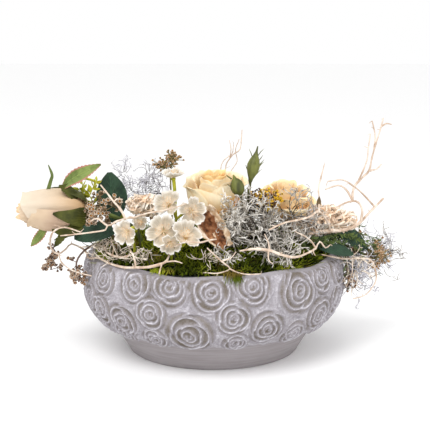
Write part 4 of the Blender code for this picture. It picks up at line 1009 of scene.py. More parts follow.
def make_second_rose():
    """The smaller peach-gold rose behind the silver bush."""
    draw = random.Random(4)
    base = frame_along(at(75, -13, 142), (0.08, -0.22, 1.0))
    petals = ring_of(base, 5, 20, [(4, 1), (14, 3), (23, 11), (27, 20), (30, 24), (32.5, 22)], 42, draw)
    petals += ring_of(base, 5, 50, [(4, 4), (13, 8), (20, 18), (22, 28), (24, 32.5), (27, 32)], 44, draw)
    petals += ring_of(base, 4, 10, [(4, 7), (10, 12), (15, 22), (16, 32), (17, 36.5), (19.5, 37.5)], 54,
                      draw)
    petals += ring_of(base, 3, 40, [(3, 9), (6, 14), (10, 24), (10.5, 34), (11, 38.5), (13, 40)], 68,
                      draw, ruffle=1.1)
    petals += ring_of(base, 3, 0, [(2, 10), (3, 18), (5, 28), (5, 36), (6, 40)], 80, draw, across=10)
    show("second_rose_petals", joined(petals), [PEACH], ["rose_second_bloom"])
    parts = [stem([(71, -6, ROOT), (71, -6, 120), (73, -8.4, 130), (74.6, -12, 140.5)], 2.4)]
    cup = [(0.0, -5.5), (2.6, -5.0), (4.6, -2.2), (5.5, 0.5), (0.0, 1.5)]
    parts.append(placed(turned(cup, 16), base))
    show("second_rose_stem", joined(parts), [ROSE_STEM], ["rose_second_stem"])


BUD_BASE = at(-131, -50, 157)
BUD_TIP = at(-200, -58, 160)


def make_bud():
    """The lying rose bud: broad wrapped petals, with the golden edges of the inner ones at its tip."""
    draw = random.Random(6)
    base = frame_along(BUD_BASE, BUD_TIP - BUD_BASE)
    outer = [(6, 0), (15, 6), (21, 18), (22.5, 32), (21.5, 44), (18.5, 53), (17, 59), (18.5, 62)]
    lowered = [(r - 0.3, z - 3 * (z > 50)) for r, z in outer]
    lifted = [(r, z + 4 * (z > 50)) for r, z in outer]
    front = [(5, 2), (13, 8), (17, 20), (17.8, 34), (16.8, 47), (14.6, 57), (13.0, 63), (14.0, 67)]
    inner = [(5, 2), (13, 8), (17, 20), (17.8, 34), (16.6, 48), (13.6, 58), (12, 64)]
    petals = []
    # Finish 2, the paler copy on the upper petal, is painted light; finish 0 on the others is painted
    # shade.
    for degrees, outline, half, finish in ((62, lifted, 78, 2), (190, outer, 74, 0),
                                           (304, lowered, 74, 0)):
        petals.append(petal(base, degrees, outline, half, draw, 1.6, 0.9, 28, 18, 0.12, finish=finish,
                            fold=1.5))
    petals.append(petal(base, 0, front, 66, draw, 1.2, 0.9, 16, 14, 0.12))
    petals.append(petal(base, 130, inner, 66, draw, 1.2, 0.9))
    petals.append(petal(base, 250, inner, 66, draw, 1.2, 0.9))
    # The golden heart: degrees round the axis, half width, shift, ruffle and outline of each petal
    for degrees, half, shift, ruffle, outline in (
        (320, 60, 1.0, 0.5, [(4, 8), (10, 20), (13, 40), (12, 56), (10, 66), (9, 71)]),
        (80, 80, 1.0, 0.5, [(4, 8), (9, 20), (11, 40), (9, 56), (7, 66), (6.5, 69)]),
        (200, 90, 1.0, 0.5, [(4, 8), (8, 20), (8, 40), (6, 56), (4.5, 66), (4, 70)]),
        (30, 84, 0.8, 0.4, [(3, 20), (9, 36), (10, 50), (8, 62), (5.5, 68), (4.5, 70)]),
        (150, 90, 0.8, 0.4, [(3, 20), (8, 36), (8.5, 50), (6.5, 62), (4, 68), (3, 71)]),
        (265, 100, 0.6, 0.6, [(3, 20), (7, 36), (7, 50), (5, 62), (2.4, 68), (1.6, 71.5)]),
        (90, 120, 0.4, 0.4, [(2, 20), (5, 36), (4.5, 50), (3, 62), (1.2, 68), (0.6, 70.5)]),
    ):
        petals.append(petal(base, degrees, outline, half, draw, shift, ruffle, finish=1))
    show("bud_petals", joined(petals), [BUD_SHADED_CREAM, BUD_HEART, BUD_PAINTED_LIGHT],
         ["rose_bud_bloom"])


def make_bud_greenery():
    """The bud's calyx, sepals, toothed leaves and bent stems, and the lime sprigs above it."""
    draw = random.Random(7)
    base = frame_along(BUD_BASE, BUD_TIP - BUD_BASE)
    cup = [(0.0, -14.0), (2.8, -13.5), (3.4, -10.0), (6.0, -7.0), (8.0, -3.0), (8.6, 0.0), (0.0, 1.0)]
    parts = [placed(turned(cup, 20), base)]
    hug = [(6.5, -6), (11, -2), (17.5, 4), (22, 14), (24.2, 26), (24.2, 37)]
    parts.append(blade([(-127, -57, 154), (-136, -69.5, 154.5), (-147, -76.5, 157), (-161, -78, 160)],
                       [14, 18, 19, 18.5, 16.5, 14, 11.5, 9, 6, 1.5], (0.0, -1.0, 0.1), -0.2,
                       thickness=0.7, finish=1))
    short = [(r, z * 0.7) for r, z in hug]
    flared = [(6.5, -6), (13, -3), (20, 3), (25, 12), (27, 24), (30, 32)]
    for degrees, outline, half, round_off in ((84, short, 21, 0.55), (130, hug, 24, 0.55),
                                              (205, hug, 24, 0.55),
                                              (285, flared, 26, 0.5)):
        parts.append(petal(base, degrees, outline, half, draw, 0.0, 0.4, 10, 16, round_off, 0.7, 1))
    parts.append(blade([(-139, -60, 172), (-148, -64, 182), (-156, -66, 186.5)], [3, 10, 9, 11, 6, 1.5],
                       (0.2, -1.0, 0.6), 0.3, 3, 0.3, finish=1))
    parts.append(blade([(-153, -64, 183), (-145, -62, 191), (-133, -60, 198), (-114, -58, 207)],
                       [2.5, 8, 12, 14, 13.5, 11, 6.5, 1.2], (0.1, -1.0, 0.35), 0.25, 13, 0.2, 0.5, 10,
                       52, 0.5, 2))
    parts.append(blade([(-169, -56, 179), (-165.5, -56, 190), (-164, -56, 196), (-167.5, -56, 206)],
                       [3.6, 3.8, 3.2, 2.6, 0.8], (0.2, -1.0, 0.1), 0.3))
    parts.append(blade([(-171, -62, 143), (-177, -64, 134), (-186, -66, 124)], [5, 8.5, 9.5, 8.5, 6, 1.2],
                       (-0.2, -1.0, 0.2), 0.25, 9, 0.25, 0.3, 8, 36, 0.5, 2))
    parts.append(blade([(-131, -57, 150), (-140, -67, 143), (-152, -72, 140), (-163, -73, 142)],
                       [3, 8, 10, 10, 8.5, 6, 1.5], (0.1, -1.0, 0.35), 0.3, 5, 0.3, finish=1))
    parts.append(blade([(-146, -70, 141), (-154, -73, 134), (-161, -73, 125)], [2.5, 6.5, 7.5, 6, 1.2],
                       (-0.1, -1.0, 0.2), 0.3, 5, 0.3, finish=1))
    parts.append(stem([(-90, -2, ROOT), (-90, -2, 112), (-100, -8, 148), (-111, -14, 172),
                       (-123, -26, 184), (-136, -38, 190)], 2.3, 1.2, finish=3))
    parts.append(stem([(-76, -28, ROOT), (-76, -28, 120), (-84, -32, 136), (-98, -40, 147),
                       (-110, -46, 153), (-121, -49, 156)], 2.4))
    for places, count in (([(-122, -46, 160), (-128, -42, 172), (-134, -40, 178), (-136, -40, 190)], 14),
                          ([(-128, -42, 172), (-124, -40, 181), (-120, -38, 188)], 12),
                          ([(-128, -42, 172), (-134, -44, 174), (-140, -46, 181)], 9)):
        parts += leafy_sprig(places, 10.0, 3.3, count, draw, (3, 3))
    show("bud_greenery", joined(parts), [ROSE_STEM, SEPAL, ROSE_LEAF, LIME],
         ["rose_bud_greenery"])


def green_bud(base, tip, outline, draw, whiskers):
    """A tight green bud: closed sepals, and whiskers given as height, radius and reach."""
    place = frame_along(at(*base), at(*tip) - at(*base))
    bm = turned([(0.0, 0.0)] + outline + [(0.0, outline[-1][1] + 0.6)], 30)
    for vert in bm.verts:
        angle = math.atan2(vert.co.y, vert.co.x)
        ridge = 1.0 + 0.07 * abs(math.sin(2.5 * angle)) - 0.03
        vert.co.x *= ridge
        vert.co.y *= ridge
    parts = [placed(bm, place)]
    for height, radius, reach in whiskers:
        angle = draw.uniform(0.0, TAU)
        out = Vector((math.cos(angle), math.sin(angle), 0.0))
        root = place @ (out * radius * MM + UP * height * MM)
        lift = place.to_3x3() @ (out * 0.7 + UP)
        end = root + lift * reach * MM
        middle = root.lerp(end, 0.5) + any_way(draw) * 0.4 * MM
        parts.append(tube([root, middle, end], [0.5 * MM, 0.45 * MM, 0.1 * MM], 5))
    return parts


def make_green_buds():
    """The two green rose buds on their forked stem."""
    draw = random.Random(9)
    small = [(1.8, 0.3), (4.2, 1.8), (6.4, 5.5), (6.9, 9.5), (6.1, 13.5), (4.0, 17.0), (1.8, 19.5),
             (0.8, 23.0)]
    tall = [(1.8, 0.3), (2.6, 4.0), (4.6, 9.0), (6.2, 14.0), (6.4, 18.0), (5.0, 23.0), (2.6, 28.0),
            (1.2, 32.0), (0.6, 37.0)]
    parts = green_bud((27, -74, 178), (20, -80, 199), small, draw,
                      [(19, 3.2, 6), (20, 2.6, 5), (13, 6.2, 4)])
    parts += green_bud((37, -68, 190), (44, -68, 224), tall, draw,
                       [(26, 3.6, 7), (24, 4.6, 6), (20, 5.8, 5), (15, 6.2, 5), (28, 2.8, 8),
                        (12, 5.8, 4), (17, 6.2, 6), (9, 4.6, 6),
                        (22, 5.4, 7), (14, 6.2, 6), (18, 6.2, 7), (11, 5.4, 5)])
    parts.append(stem([(34, -58, ROOT), (34, -58, 122), (35, -64, 160), (36, -67, 180),
                       (37.3, -68, 191.5)], 1.5))
    parts.append(stem([(35, -64, 158), (31, -70, 166), (26.8, -74.2, 179.5)], 1.3))
    show("green_buds", joined(parts), [BUD_GREEN], ["green_rose_buds"])


def oval(width):
    """The widths along an egg-shaped leaf of that greatest width."""
    widths = (1.5, 12, 20, 27, 31.5, 34, 34, 32.5, 29, 23, 15, 5)
    return [value * width / 34.0 for value in widths]


def make_leaf_sprigs():
    """Blue-green eucalyptus leaves on short woody stems, left and right."""
    parts = [
        blade([(-105, -27, 140), (-107, -24, 165), (-109, -20, 193)], oval(33), (0.25, -1.0, 0.1), 0.16,
              wave=0.5, along=30),
        blade([(-98, -64, 139), (-120, -69, 139), (-142, -64, 132)], oval(20), (0.1, -0.9, 0.5), 0.22,
              wave=0.3, along=30),
        stem([(-92, -8, ROOT), (-92, -8, 114), (-97, -20, 132)], 1.6, 1.4),
        stem([(-97, -20, 131), (-102, -25, 136), (-105, -27, 146)], 1.3, 0.7),
        stem([(-97, -20, 131), (-97, -45, 137), (-98, -64, 139), (-106, -66, 139.3)], 1.3, 0.6),
    ]
    show("left_leaves", joined(parts), [BLUE_LEAF], ["leaf_sprig_left"])
    parts = [
        blade([(132, -26, 128), (148, -15, 121), (166, -5, 107)], oval(20), (0.3, -0.8, 0.6), 0.16,
              wave=0.4, along=30),
        blade([(110, -59, 119), (127, -54, 117), (146, -45, 111)], oval(14), (0.2, -0.7, 0.7), 0.2,
              along=26),
        stem([(106, -28, ROOT), (106, -28, 112), (113, -29, 125)], 1.6, 1.4),
        stem([(113, -29, 124), (124, -27, 128), (136, -24, 127)], 1.2, 0.6),
        stem([(113, -29, 124), (110, -45, 121), (110, -59, 119), (116, -57, 118.6)], 1.2, 0.6),
    ]
    draw = random.Random(19)
    foot = (106, -28, 110)
    for bends in ([(111, -40, 121), (124, -47, 125), (137, -48, 122)],
                  [(114, -30, 124), (127, -33, 129), (141, -32, 128)],
                  [(103, -44, 121), (112, -54, 126), (123, -58, 125)],
                  [(96, -38, 120), (98, -50, 128), (104, -60, 130)],
                  [(118, -18, 120), (132, -18, 124), (148, -18, 123)],
                  [(118, -28, 119), (130, -26, 121), (139, -24, 118)]):
        parts += leafy_sprig([foot] + bends, 8.0, 1.7, 30, draw, (1, 1))
    bends = [(114, -26, 121), (126, -24, 125), (140, -24, 123)]
    parts += leafy_sprig([foot] + bends, 8.5, 3.2, 34, draw, (1, 0))
    show("right_leaves", joined(parts), [BLUE_LEAF, SMALL_GREEN], ["leaf_sprig_right"])


# Cherry blossoms


BLOSSOMS = [
    ("blossom_far_left", (-85, -101, 146), (-0.45, -1.0, -0.15), 14.0),
    ("blossom_front", (-49, -99, 146), (-0.25, -1.0, 0.35), 17.5),
    ("blossom_upper", (-22, -86, 164), (0.35, -1.0, 0.15), 15.2),
    ("blossom_low", (-27, -108, 142), (0.25, -0.7, 0.8), 16.8),
    ("blossom_back", (-45, -72, 168), (-0.4, -0.8, 0.7), 15.6),
    ("blossom_top", (-41, -52, 193.5), (-0.1, -0.12, 1.0), 12.5),
    ("blossom_small", (-73, -78, 151), (-0.2, -1.0, 0.3), 8.5),
    ("blossom_lowest", (-42, -112, 137), (0.15, -1.0, -0.3), 11.6),
]


def make_blossom(name, place, facing, radius, draw, stamen):
    """Five round silk lobes that cup a tuft of stamens, on a small green calyx."""
    base = frame_along(at(*place), facing, draw.uniform(0.0, TAU))
    parts = []
    for index in range(5):
        middle = TAU * index / 5
        cup = draw.uniform(0.22, 0.66)
        phase = draw.uniform(0.0, TAU)
        side_way = 1 if index % 2 else -1

        def shape(s, t):
            frill = t ** 3 * math.sin(5.5 * s + phase) + 0.4 * t ** 4 * math.sin(13.0 * s + 2.0 * phase)
            notch = 0.07 * t ** 4 * (1.0 - abs(s)) ** 2
            reach = radius * (0.01 + 0.99 * t * (1.0 - 0.32 * abs(s) ** 3) - notch)
            reach *= 1.0 + 0.035 * t ** 4 * math.sin(13.0 * s + phase)
            opened = 0.42 * math.sin(math.pi * 0.5 * min(1.0, t * 1.3))
            angle = middle + s * (0.3 + opened - 0.34 * max(0.0, t - 0.6))
            height = radius * (cup * t * t + 0.1 * s * s * t + 0.07 * side_way * s * t)
            height += radius * 0.055 * frill - 0.05 * radius
            return base @ (Vector((reach * math.cos(angle), reach * math.sin(angle), height)) * MM)

        parts.append(sheet(shape, 16, 11, 0.35 * MM, 0))
    cup = [(0.0, -0.46), (0.1, -0.44), (0.18, -0.28), (0.2, -0.15), (0.0, -0.09)]
    parts.append(with_finish(placed(turned(cup, 10, radius), base), 2))
    whole = joined(parts)
    runs = []
    for _ in range(22):
        out = Vector((draw.gauss(0, 0.55), draw.gauss(0, 0.55), 1.0)).normalized()
        reach = radius * draw.uniform(0.35, 0.62)
        root = Vector((out.x, out.y, 0.0)) * radius * 0.05
        runs.append([base @ ((root + out * reach * share) * MM) for share in (0.0, 0.45, 0.85, 1.0)])
    stamen.strew(whole, runs, [[0.16 * MM, 0.14 * MM, 0.14 * MM, 0.34 * MM]] * len(runs))
    show(name + "_petals", whole, [BLOSSOM, STAMEN, LIME], [name])


def make_blossoms():
    """The cherry blossoms and their forked lime stems."""
    draw = random.Random(10)
    stamen = Strand(4, 3, 1)
    for name, place, facing, radius in BLOSSOMS:
        make_blossom(name, place, facing, radius, draw, stamen)
    forks = [
        ("blossom_stem_left", (-80, -72), (-80, -80, 140), (0, 6)),
        ("blossom_stem_middle", (-42, -82), (-42, -88, 136), (1, 3, 7)),
        ("blossom_stem_upper", (-38, -58), (-38, -58, 150), (2, 4, 5)),
    ]
    for name, foot, fork, tips in forks:
        parts = [stem([(*foot, ROOT), (*foot, 122), fork], 1.4, 1.3)]
        for tip in tips:
            _name, place, facing, radius = BLOSSOMS[tip]
            facing = Vector(facing).normalized()
            under = Vector(place) - facing * radius * 0.36
            parts.append(stem([fork, tuple(under - facing * 8), tuple(under)], 1.3, 1.9))
        show(name + "_twigs", joined(parts), [LIME], [name])


# Dry leaf and wood shavings


def make_dry_leaf():
    """The dried leaf: a crumpled brown hollow with a pale flaring rim, on its stalk."""
    top = Vector((-13.0, -84.0, 165.0))
    down = Vector((24.0, -6.0, -38.0))
    side = Vector((0.82, 0.25, 0.52)).normalized()
    back = down.normalized().cross(side).normalized()
    back = back if back.y > 0 else -back

    def shape(s, t):
        half = 12.5 * math.sin(math.pi * (0.10 + 0.80 * t)) ** 0.6
        crumple = noise.noise(Vector((s * 3.1, t * 4.3, 0.0)))
        deep = 11.0 * (1.0 - s * s) * math.sin(math.pi * (0.15 + 0.7 * t)) + 2.6 * crumple
        deep -= 3.5 * abs(s) ** 5 + 1.6 * max(0.0, s) * math.sin(17.0 * t + 1.0)
        sway = 1.6 * math.sin(5.0 * t + 2.0 * s) + 1.8 * noise.noise(Vector((s * 5.0, t * 7.0, 3.0)))
        sway += 2.2 * max(0.0, s) ** 3 + 0.9 * s * math.sin(13.0 * t)
        return (top + down * (t + 0.02 * math.sin(9.0 * s)) + side * (s * half + sway) + back * deep) * MM

    parts = [sheet(shape, 44, 40, 0.6 * MM)]
    root = shape(0.0, 0.6) / MM
    parts.append(stem([(8, -82, ROOT), (8, -82, 115), tuple(root)], 1.4))
    show("dry_leaf_hollow", joined(parts), [DRY_LEAF], ["dry_brown_leaf"])


def ribbon(base, start, turns, inner, outer, width, lift, draw):
    """One thin curled ribbon wound round the frame's axis."""
    phase = draw.uniform(0.0, TAU)
    tilt = draw.uniform(-0.35, 0.35)

    def shape(s, t):
        angle = start + turns * TAU * t
        radius = (inner + (outer - inner) * t) * (1.0 + 0.07 * math.sin(3 * angle + phase))
        radius += s * width * 0.5 * tilt
        height = s * width / 2 + lift * (t - 0.4) + 0.8 * math.sin(5 * t + phase)
        return base @ (Vector((radius * math.cos(angle), radius * math.sin(angle), height)) * MM)

    return sheet(shape, 2, max(8, int(22 * abs(turns))), 0.35 * MM)


def rosette(centre, axis, size, count, draw):
    """Thin wood shavings curled round a pith."""
    base = frame_along(at(*centre), axis)
    pith = [(0.0, -0.45), (0.14, -0.3), (0.14, 0.25), (0.0, 0.4)]
    parts = [placed(turned(pith, 10, size), base)]
    for _ in range(count):
        inner = size * draw.uniform(0.12, 0.75)
        outer = min(size * 1.05, inner + size * draw.uniform(0.1, 0.4))
        parts.append(ribbon(base, draw.uniform(0.0, TAU), draw.uniform(0.35, 0.9), inner, outer,
                            draw.uniform(1.0, 4.0), draw.uniform(-0.5, 0.5) * size, draw))
    return parts


def shaved_strips(whole, centre, size, count, draw):
    """Narrow curled strips that lie every way through an egg-shaped heap."""
    strip = Strand(4, 8, 1)
    centre = Vector(centre)
    runs = []
    radii = []
    for _ in range(count):
        out = any_way(draw) * draw.uniform(0.35, 1.0) ** 0.5
        spot = centre + Vector([out[axis] * size[axis] for axis in range(3)])
        heading = (any_way(draw) + Vector((draw.choice((-1.1, 1.1)), 0.0, 0.0))).normalized()
        axis = any_way(draw)
        curl = draw.uniform(0.06, 0.45)
        stride = draw.uniform(2.2, 6.4)
        run = []
        for _step in range(9):
            run.append(spot * MM)
            heading = (Matrix.Rotation(curl, 3, axis) @ heading).normalized()
            off = Vector([(spot - centre)[side] / size[side] for side in range(3)])
            if off.length > 0.9:
                heading = (heading - off.normalized() * (off.length - 0.9) * 3.0).normalized()
            spot = spot + heading * stride
        runs.append(run)
        wide = draw.uniform(0.55, 1.35) * MM
        radii.append([wide * 0.5] + [wide] * 7 + [wide * 0.5])
    strip.strew(whole, runs, radii, 0.3)
    return whole


def make_curls():
    """Two bunches of wood shavings on short sticks; the right one is wide and double."""
    draw = random.Random(31)
    # The rosettes take finish 0, the dark heart that is partly painted shade within the heap.
    parts = rosette((130, -4, 139), (0.25, -0.9, 0.5), 14, 28, draw)
    parts += rosette((108, -4, 131), (-0.3, -0.8, 0.7), 11.5, 24, draw)
    parts.append(stem([(110, 14, ROOT), (110, 14, 118), (118, 4, 136)], 1.5))
    whole = shaved_strips(joined(parts), (114, -9, 138), (35.0, 13.0, 16.0), 290, draw)
    show("right_shavings", whole, [SHAVING_HEART_SHADE, SHAVING], ["shaving_curl_right"])
    draw = random.Random(32)
    parts = rosette((-68, -26, 157), (-0.1, -0.9, 0.4), 10.5, 22, draw)
    parts.append(stem([(-62, -14, ROOT), (-62, -14, 118), (-67, -21, 156)], 1.5))
    whole = shaved_strips(joined(parts), (-70, -28, 159), (18.0, 10.0, 10.0), 130, draw)
    show("left_shavings", whole, [SHAVING_HEART_SHADE, SHAVING], ["shaving_curl_left"])


# Bleached twigs


# Each twig's runs: the girth at both ends and the places, the first run planted in the moss
TWIGS = {
    "twig_left_low": [
        (1.7, 0.9, [(-44, -92, ROOT), (-44, -92, 116), (-43, -104, 124), (-47, -117, 119),
                    (-62, -120, 115),
                    (-76, -110, 112), (-89, -97, 109), (-104, -78, 108), (-118, -60, 110),
                    (-130, -42, 106),
                    (-134, -42, 114), (-147, -48, 122), (-152, -52, 118), (-160, -54, 113),
                    (-167, -54, 118),
                    (-166, -66, 132), (-161, -76, 141), (-153, -81, 146), (-145, -83, 146),
                    (-133, -84, 142)]),
        (1.0, 0.6, [(-76, -110, 112), (-78, -106, 120), (-82, -102, 128)]),
        (1.0, 0.6, [(-47, -117, 119), (-37, -121, 121), (-30, -122, 119)]),
        (1.0, 0.6, [(-50, -118, 118), (-52, -136, 112)]),
        (0.9, 0.6, [(-160, -54, 113), (-156, -58, 104), (-142, -72, 99), (-122, -92, 99)]),
    ],
    "twig_left_thick": [
        (2.4, 1.6, [(-64, -97, ROOT), (-64, -97, 116), (-74, -94, 124), (-84, -88, 119), (-93, -80, 115),
                    (-103, -70, 115), (-110, -62, 117)]),
        (1.4, 0.8, [(-110, -62, 117), (-112, -60, 123), (-107, -62, 127)]),
        (1.2, 0.7, [(-103, -70, 115), (-101, -72, 124), (-104, -70, 130)]),
    ],
    "twig_left_upper": [
        (1.6, 0.9, [(-74, -72, ROOT), (-74, -72, 122), (-75, -84, 146), (-79, -91, 158), (-87, -91, 157),
                    (-96, -90, 154), (-105, -90, 150), (-116, -84, 156), (-125, -80, 151)]),
        (1.2, 0.7, [(-79, -91, 158), (-65, -93, 163), (-51, -97, 166), (-35, -101, 171),
                    (-27, -100, 174)]),
        (1.5, 0.9, [(-87, -91, 157), (-93, -87, 167), (-99, -85, 173), (-105, -84, 181),
                    (-112, -84, 190)]),
        (1.1, 0.7, [(-105, -90, 150), (-107, -92, 146), (-120, -94, 144), (-136, -94, 142),
                    (-152, -92, 140)]),
        (0.9, 0.6, [(-99, -85, 173), (-96, -86, 176), (-90, -88, 176)]),
    ],
    "twig_centre": [
        (1.3, 0.8, [(-38, -104, ROOT), (-38, -104, 116), (-38, -112, 133), (-27, -122, 140),
                    (-13, -124, 140), (-4, -122, 142), (3, -118, 142)]),
        (0.9, 0.6, [(-4, -122, 142), (-10, -119, 148), (-15, -116, 154)]),
        (0.9, 0.6, [(-6, -121, 134), (8, -122, 121), (16, -124, 114), (4, -128, 110.5), (-8, -127, 111)]),
        (0.9, 0.5, [(16, -124, 114), (24, -128, 111), (34, -128.5, 109.5), (46, -126, 109.5)]),
        (0.8, 0.5, [(8, -122, 121), (17, -122, 124), (22, -120, 130)]),
    ],
    "twig_front_right": [
        (1.9, 1.2, [(18, -98, ROOT), (18, -98, 118), (26, -108, 128), (40, -112, 131), (55, -110, 129),
                    (65, -113, 126), (75, -112, 123), (84, -106, 122), (96, -94, 124), (103, -82, 125)]),
        (1.0, 0.6, [(55, -110, 129), (54, -112, 137), (50, -112, 146)]),
        (1.0, 0.6, [(54, -110, 129), (54, -116, 121), (58, -120, 118)]),
        (1.1, 0.6, [(103, -82, 125), (98, -84, 133), (90, -86, 139), (81, -90, 144)]),
        (1.1, 0.6, [(103, -82, 125), (107, -82, 132), (113, -80, 125), (118, -78, 128)]),
    ],
    "twig_right_main": [
        (2.2, 1.0, [(90, -44, ROOT), (90, -44, 118), (98, -46, 132), (106, -44, 133), (122, -38, 134),
                    (134, -32, 133),
                    (146, -26, 135), (156, -20, 140), (163, -12, 145), (173, -4, 153), (183, 4, 161)]),
        (1.3, 0.8, [(156, -20, 140), (157, -22, 152), (153, -22, 161), (146, -24, 163), (138, -26, 161),
                    (129, -28, 157)]),
        (1.1, 0.7, [(146, -24, 163), (144, -18, 168), (140, -14, 174), (132, -14, 178), (118, -16, 174)]),
        (1.0, 0.6, [(173, -4, 153), (159, -12, 168), (149, -18, 177), (136, -22, 185), (120, -24, 184)]),
        (1.4, 0.6, [(146, -24, 163), (150, -4, 174), (160, 10, 182), (168, 12, 190), (171, 14, 204),
                    (175, 16, 218), (180, 19, 234), (183, 20, 246)]),
        (1.0, 0.6, [(155, 8, 177), (160, 4, 190), (164, 2, 203), (165, 1, 216), (167, 2, 231)]),
        (0.9, 0.6, [(173, 15, 212), (175, 22, 226), (172, 27, 242)]),
        (0.9, 0.6, [(168, 12, 190), (176, 15, 191), (182, 18, 196)]),
        (0.9, 0.6, [(180, 19, 236), (186, 20, 240), (192, 20, 239)]),
        (1.3, 0.8, [(122, -38, 134), (117, -54, 147), (107, -68, 160), (96, -86, 158), (84, -97, 157),
                    (70, -106, 156), (54, -112, 150)]),
        (1.0, 0.6, [(107, -68, 160), (108, -56, 172), (108, -50, 182), (114, -42, 204)]),
    ],
    "twig_right_low": [
        (1.6, 0.9, [(100, -56, ROOT), (100, -56, 110), (111, -62, 114), (124, -50, 109), (137, -42, 105),
                    (151, -36, 104), (165, -33, 102), (171, -32, 91), (172, -32, 79), (166, -32, 68),
                    (159, -32, 62), (148, -32, 59)]),
        (1.0, 0.6, [(145, -43, 106), (145, -43, 89), (139, -44, 75)]),
    ],
    "twig_back": [
        (1.4, 0.7, [(16, 30, ROOT), (16, 30, 122), (14, 28, 160), (13, 26, 190), (18, 24, 202),
                    (24, 24, 208), (29, 24, 212), (31, 24, 233)]),
        (0.8, 0.5, [(18, 24, 202), (19, 22, 213), (17, 22, 222)]),
        (0.9, 0.5, [(14, 27, 176), (8, 26, 190), (12, 26, 200), (20, 26, 206), (22, 26, 216)]),
        (0.8, 0.5, [(14, 27, 176), (20, 30, 188), (26, 30, 198), (24, 30, 210), (28, 28, 222)]),
    ],
}

# Pale tangles on the twigs: middle, size, count, stride, girth and finish of each heap
PALE_TUFTS = {
    "twig_left_thick": [
        ((-98, -66, 117), (28, 20, 9), 85, 3.0, 0.46, 2),
        ((-68, -96, 115), (26, 14, 7), 60, 3.0, 0.46, 2),
        ((-122, -58, 122), (16, 10, 9), 50, 3.0, 0.42, 2),
    ],
    "twig_centre": [((-8, -112, 121), (26, 12, 6), 26, 2.8, 0.42, 2)],
    "twig_right_low": [((150, -34, 92), (22, 12, 26), 40, 3.4, 0.4, 2)],
}


# How thick each twig is as a share of the girths in its rows; the others are at 0.85
TWIG_GIRTHS = {"twig_left_thick": 0.62, "twig_right_main": 1.05, "twig_back": 0.75,
               "twig_right_low": 0.68}


def spurs(run, radius, draw):
    """Short bent side twigs at some points of a run."""
    parts = []
    for point, way in list(zip(run, directions_of(run)))[3:]:
        if draw.random() < 0.45:
            out = (any_way(draw) + way * 0.5).normalized()
            reach = draw.uniform(3.0, 7.0) * MM
            bend = any_way(draw) * reach * 0.15
            places = [point, point + out * reach * 0.5 + bend, point + out * reach]
            parts.append(tube(places, [radius, radius * 0.8, radius * 0.45], 5))
    return parts


def make_twigs():
    """The bleached twigs: knotty runs with short spurs."""
    for number, (name, runs) in enumerate(TWIGS.items()):
        draw = random.Random(60 + number)
        girth = TWIG_GIRTHS.get(name, 0.85)
        parts = []
        for thick, thin, places in runs:
            thick, thin = thick * girth, thin * girth
            planted = places[0][2] == ROOT
            if planted:
                # The planted foot takes finish 1, dark green as painted shade down in the moss.
                parts.append(stem(places[:3], thick * 0.5, thick * 0.6, 6, finish=1))
                places = places[2:]
            parts.append(stem(places, thick, thin, 7, 3.5, draw, swell=planted))
            parts += spurs(curve_through(route(*places), 9 * MM), thin * MM * 0.75, draw)
        if name == "twig_right_main":
            pod = [(0.0, -5.5), (1.2, -5.0), (2.4, -2.0), (2.3, 1.5), (1.1, 4.5), (0.0, 6.5)]
            place = frame_along(at(107.5, -60, 168), (0.05, 0.15, 1.0))
            parts.append(with_finish(placed(turned(pod, 10), place), 3))
        whole = joined(parts)
        # Finish 1 also colours the tufts' darker hearts, as painted shade.
        tangle(whole, draw, PALE_TUFTS.get(name, ()))
        show(name + "_bark", whole, [BLEACHED, FOOT_AND_HEART_SHADE, PALE_LICHEN, DRY_STEM], [name])


# Sprays of dried florets


def floret(finishes):
    """A tiny dried floret: its finishes are those of the rim, the eye and the cup."""
    cup = [(0.0, -1.0), (0.45, -0.7), (0.95, 0.3), (1.05, 0.55), (0.78, 0.55), (0.5, -0.05), (0.32, 0.0),
           (0.3, 0.4), (0.0, 0.5)]
    bm = turned(cup, 6, unit=1.0)
    for face in bm.faces:
        middle = face.calc_center_median()
        out = math.hypot(middle.x, middle.y)
        if middle.z > 0.36 and out > 0.6:
            face.material_index = finishes[0]
        elif middle.z > 0 and out < 0.34:
            face.material_index = finishes[1]
        else:
            face.material_index = finishes[2]
    mesh = bpy.data.meshes.new("floret")
    bm.to_mesh(mesh)
    bm.free()
    return mesh


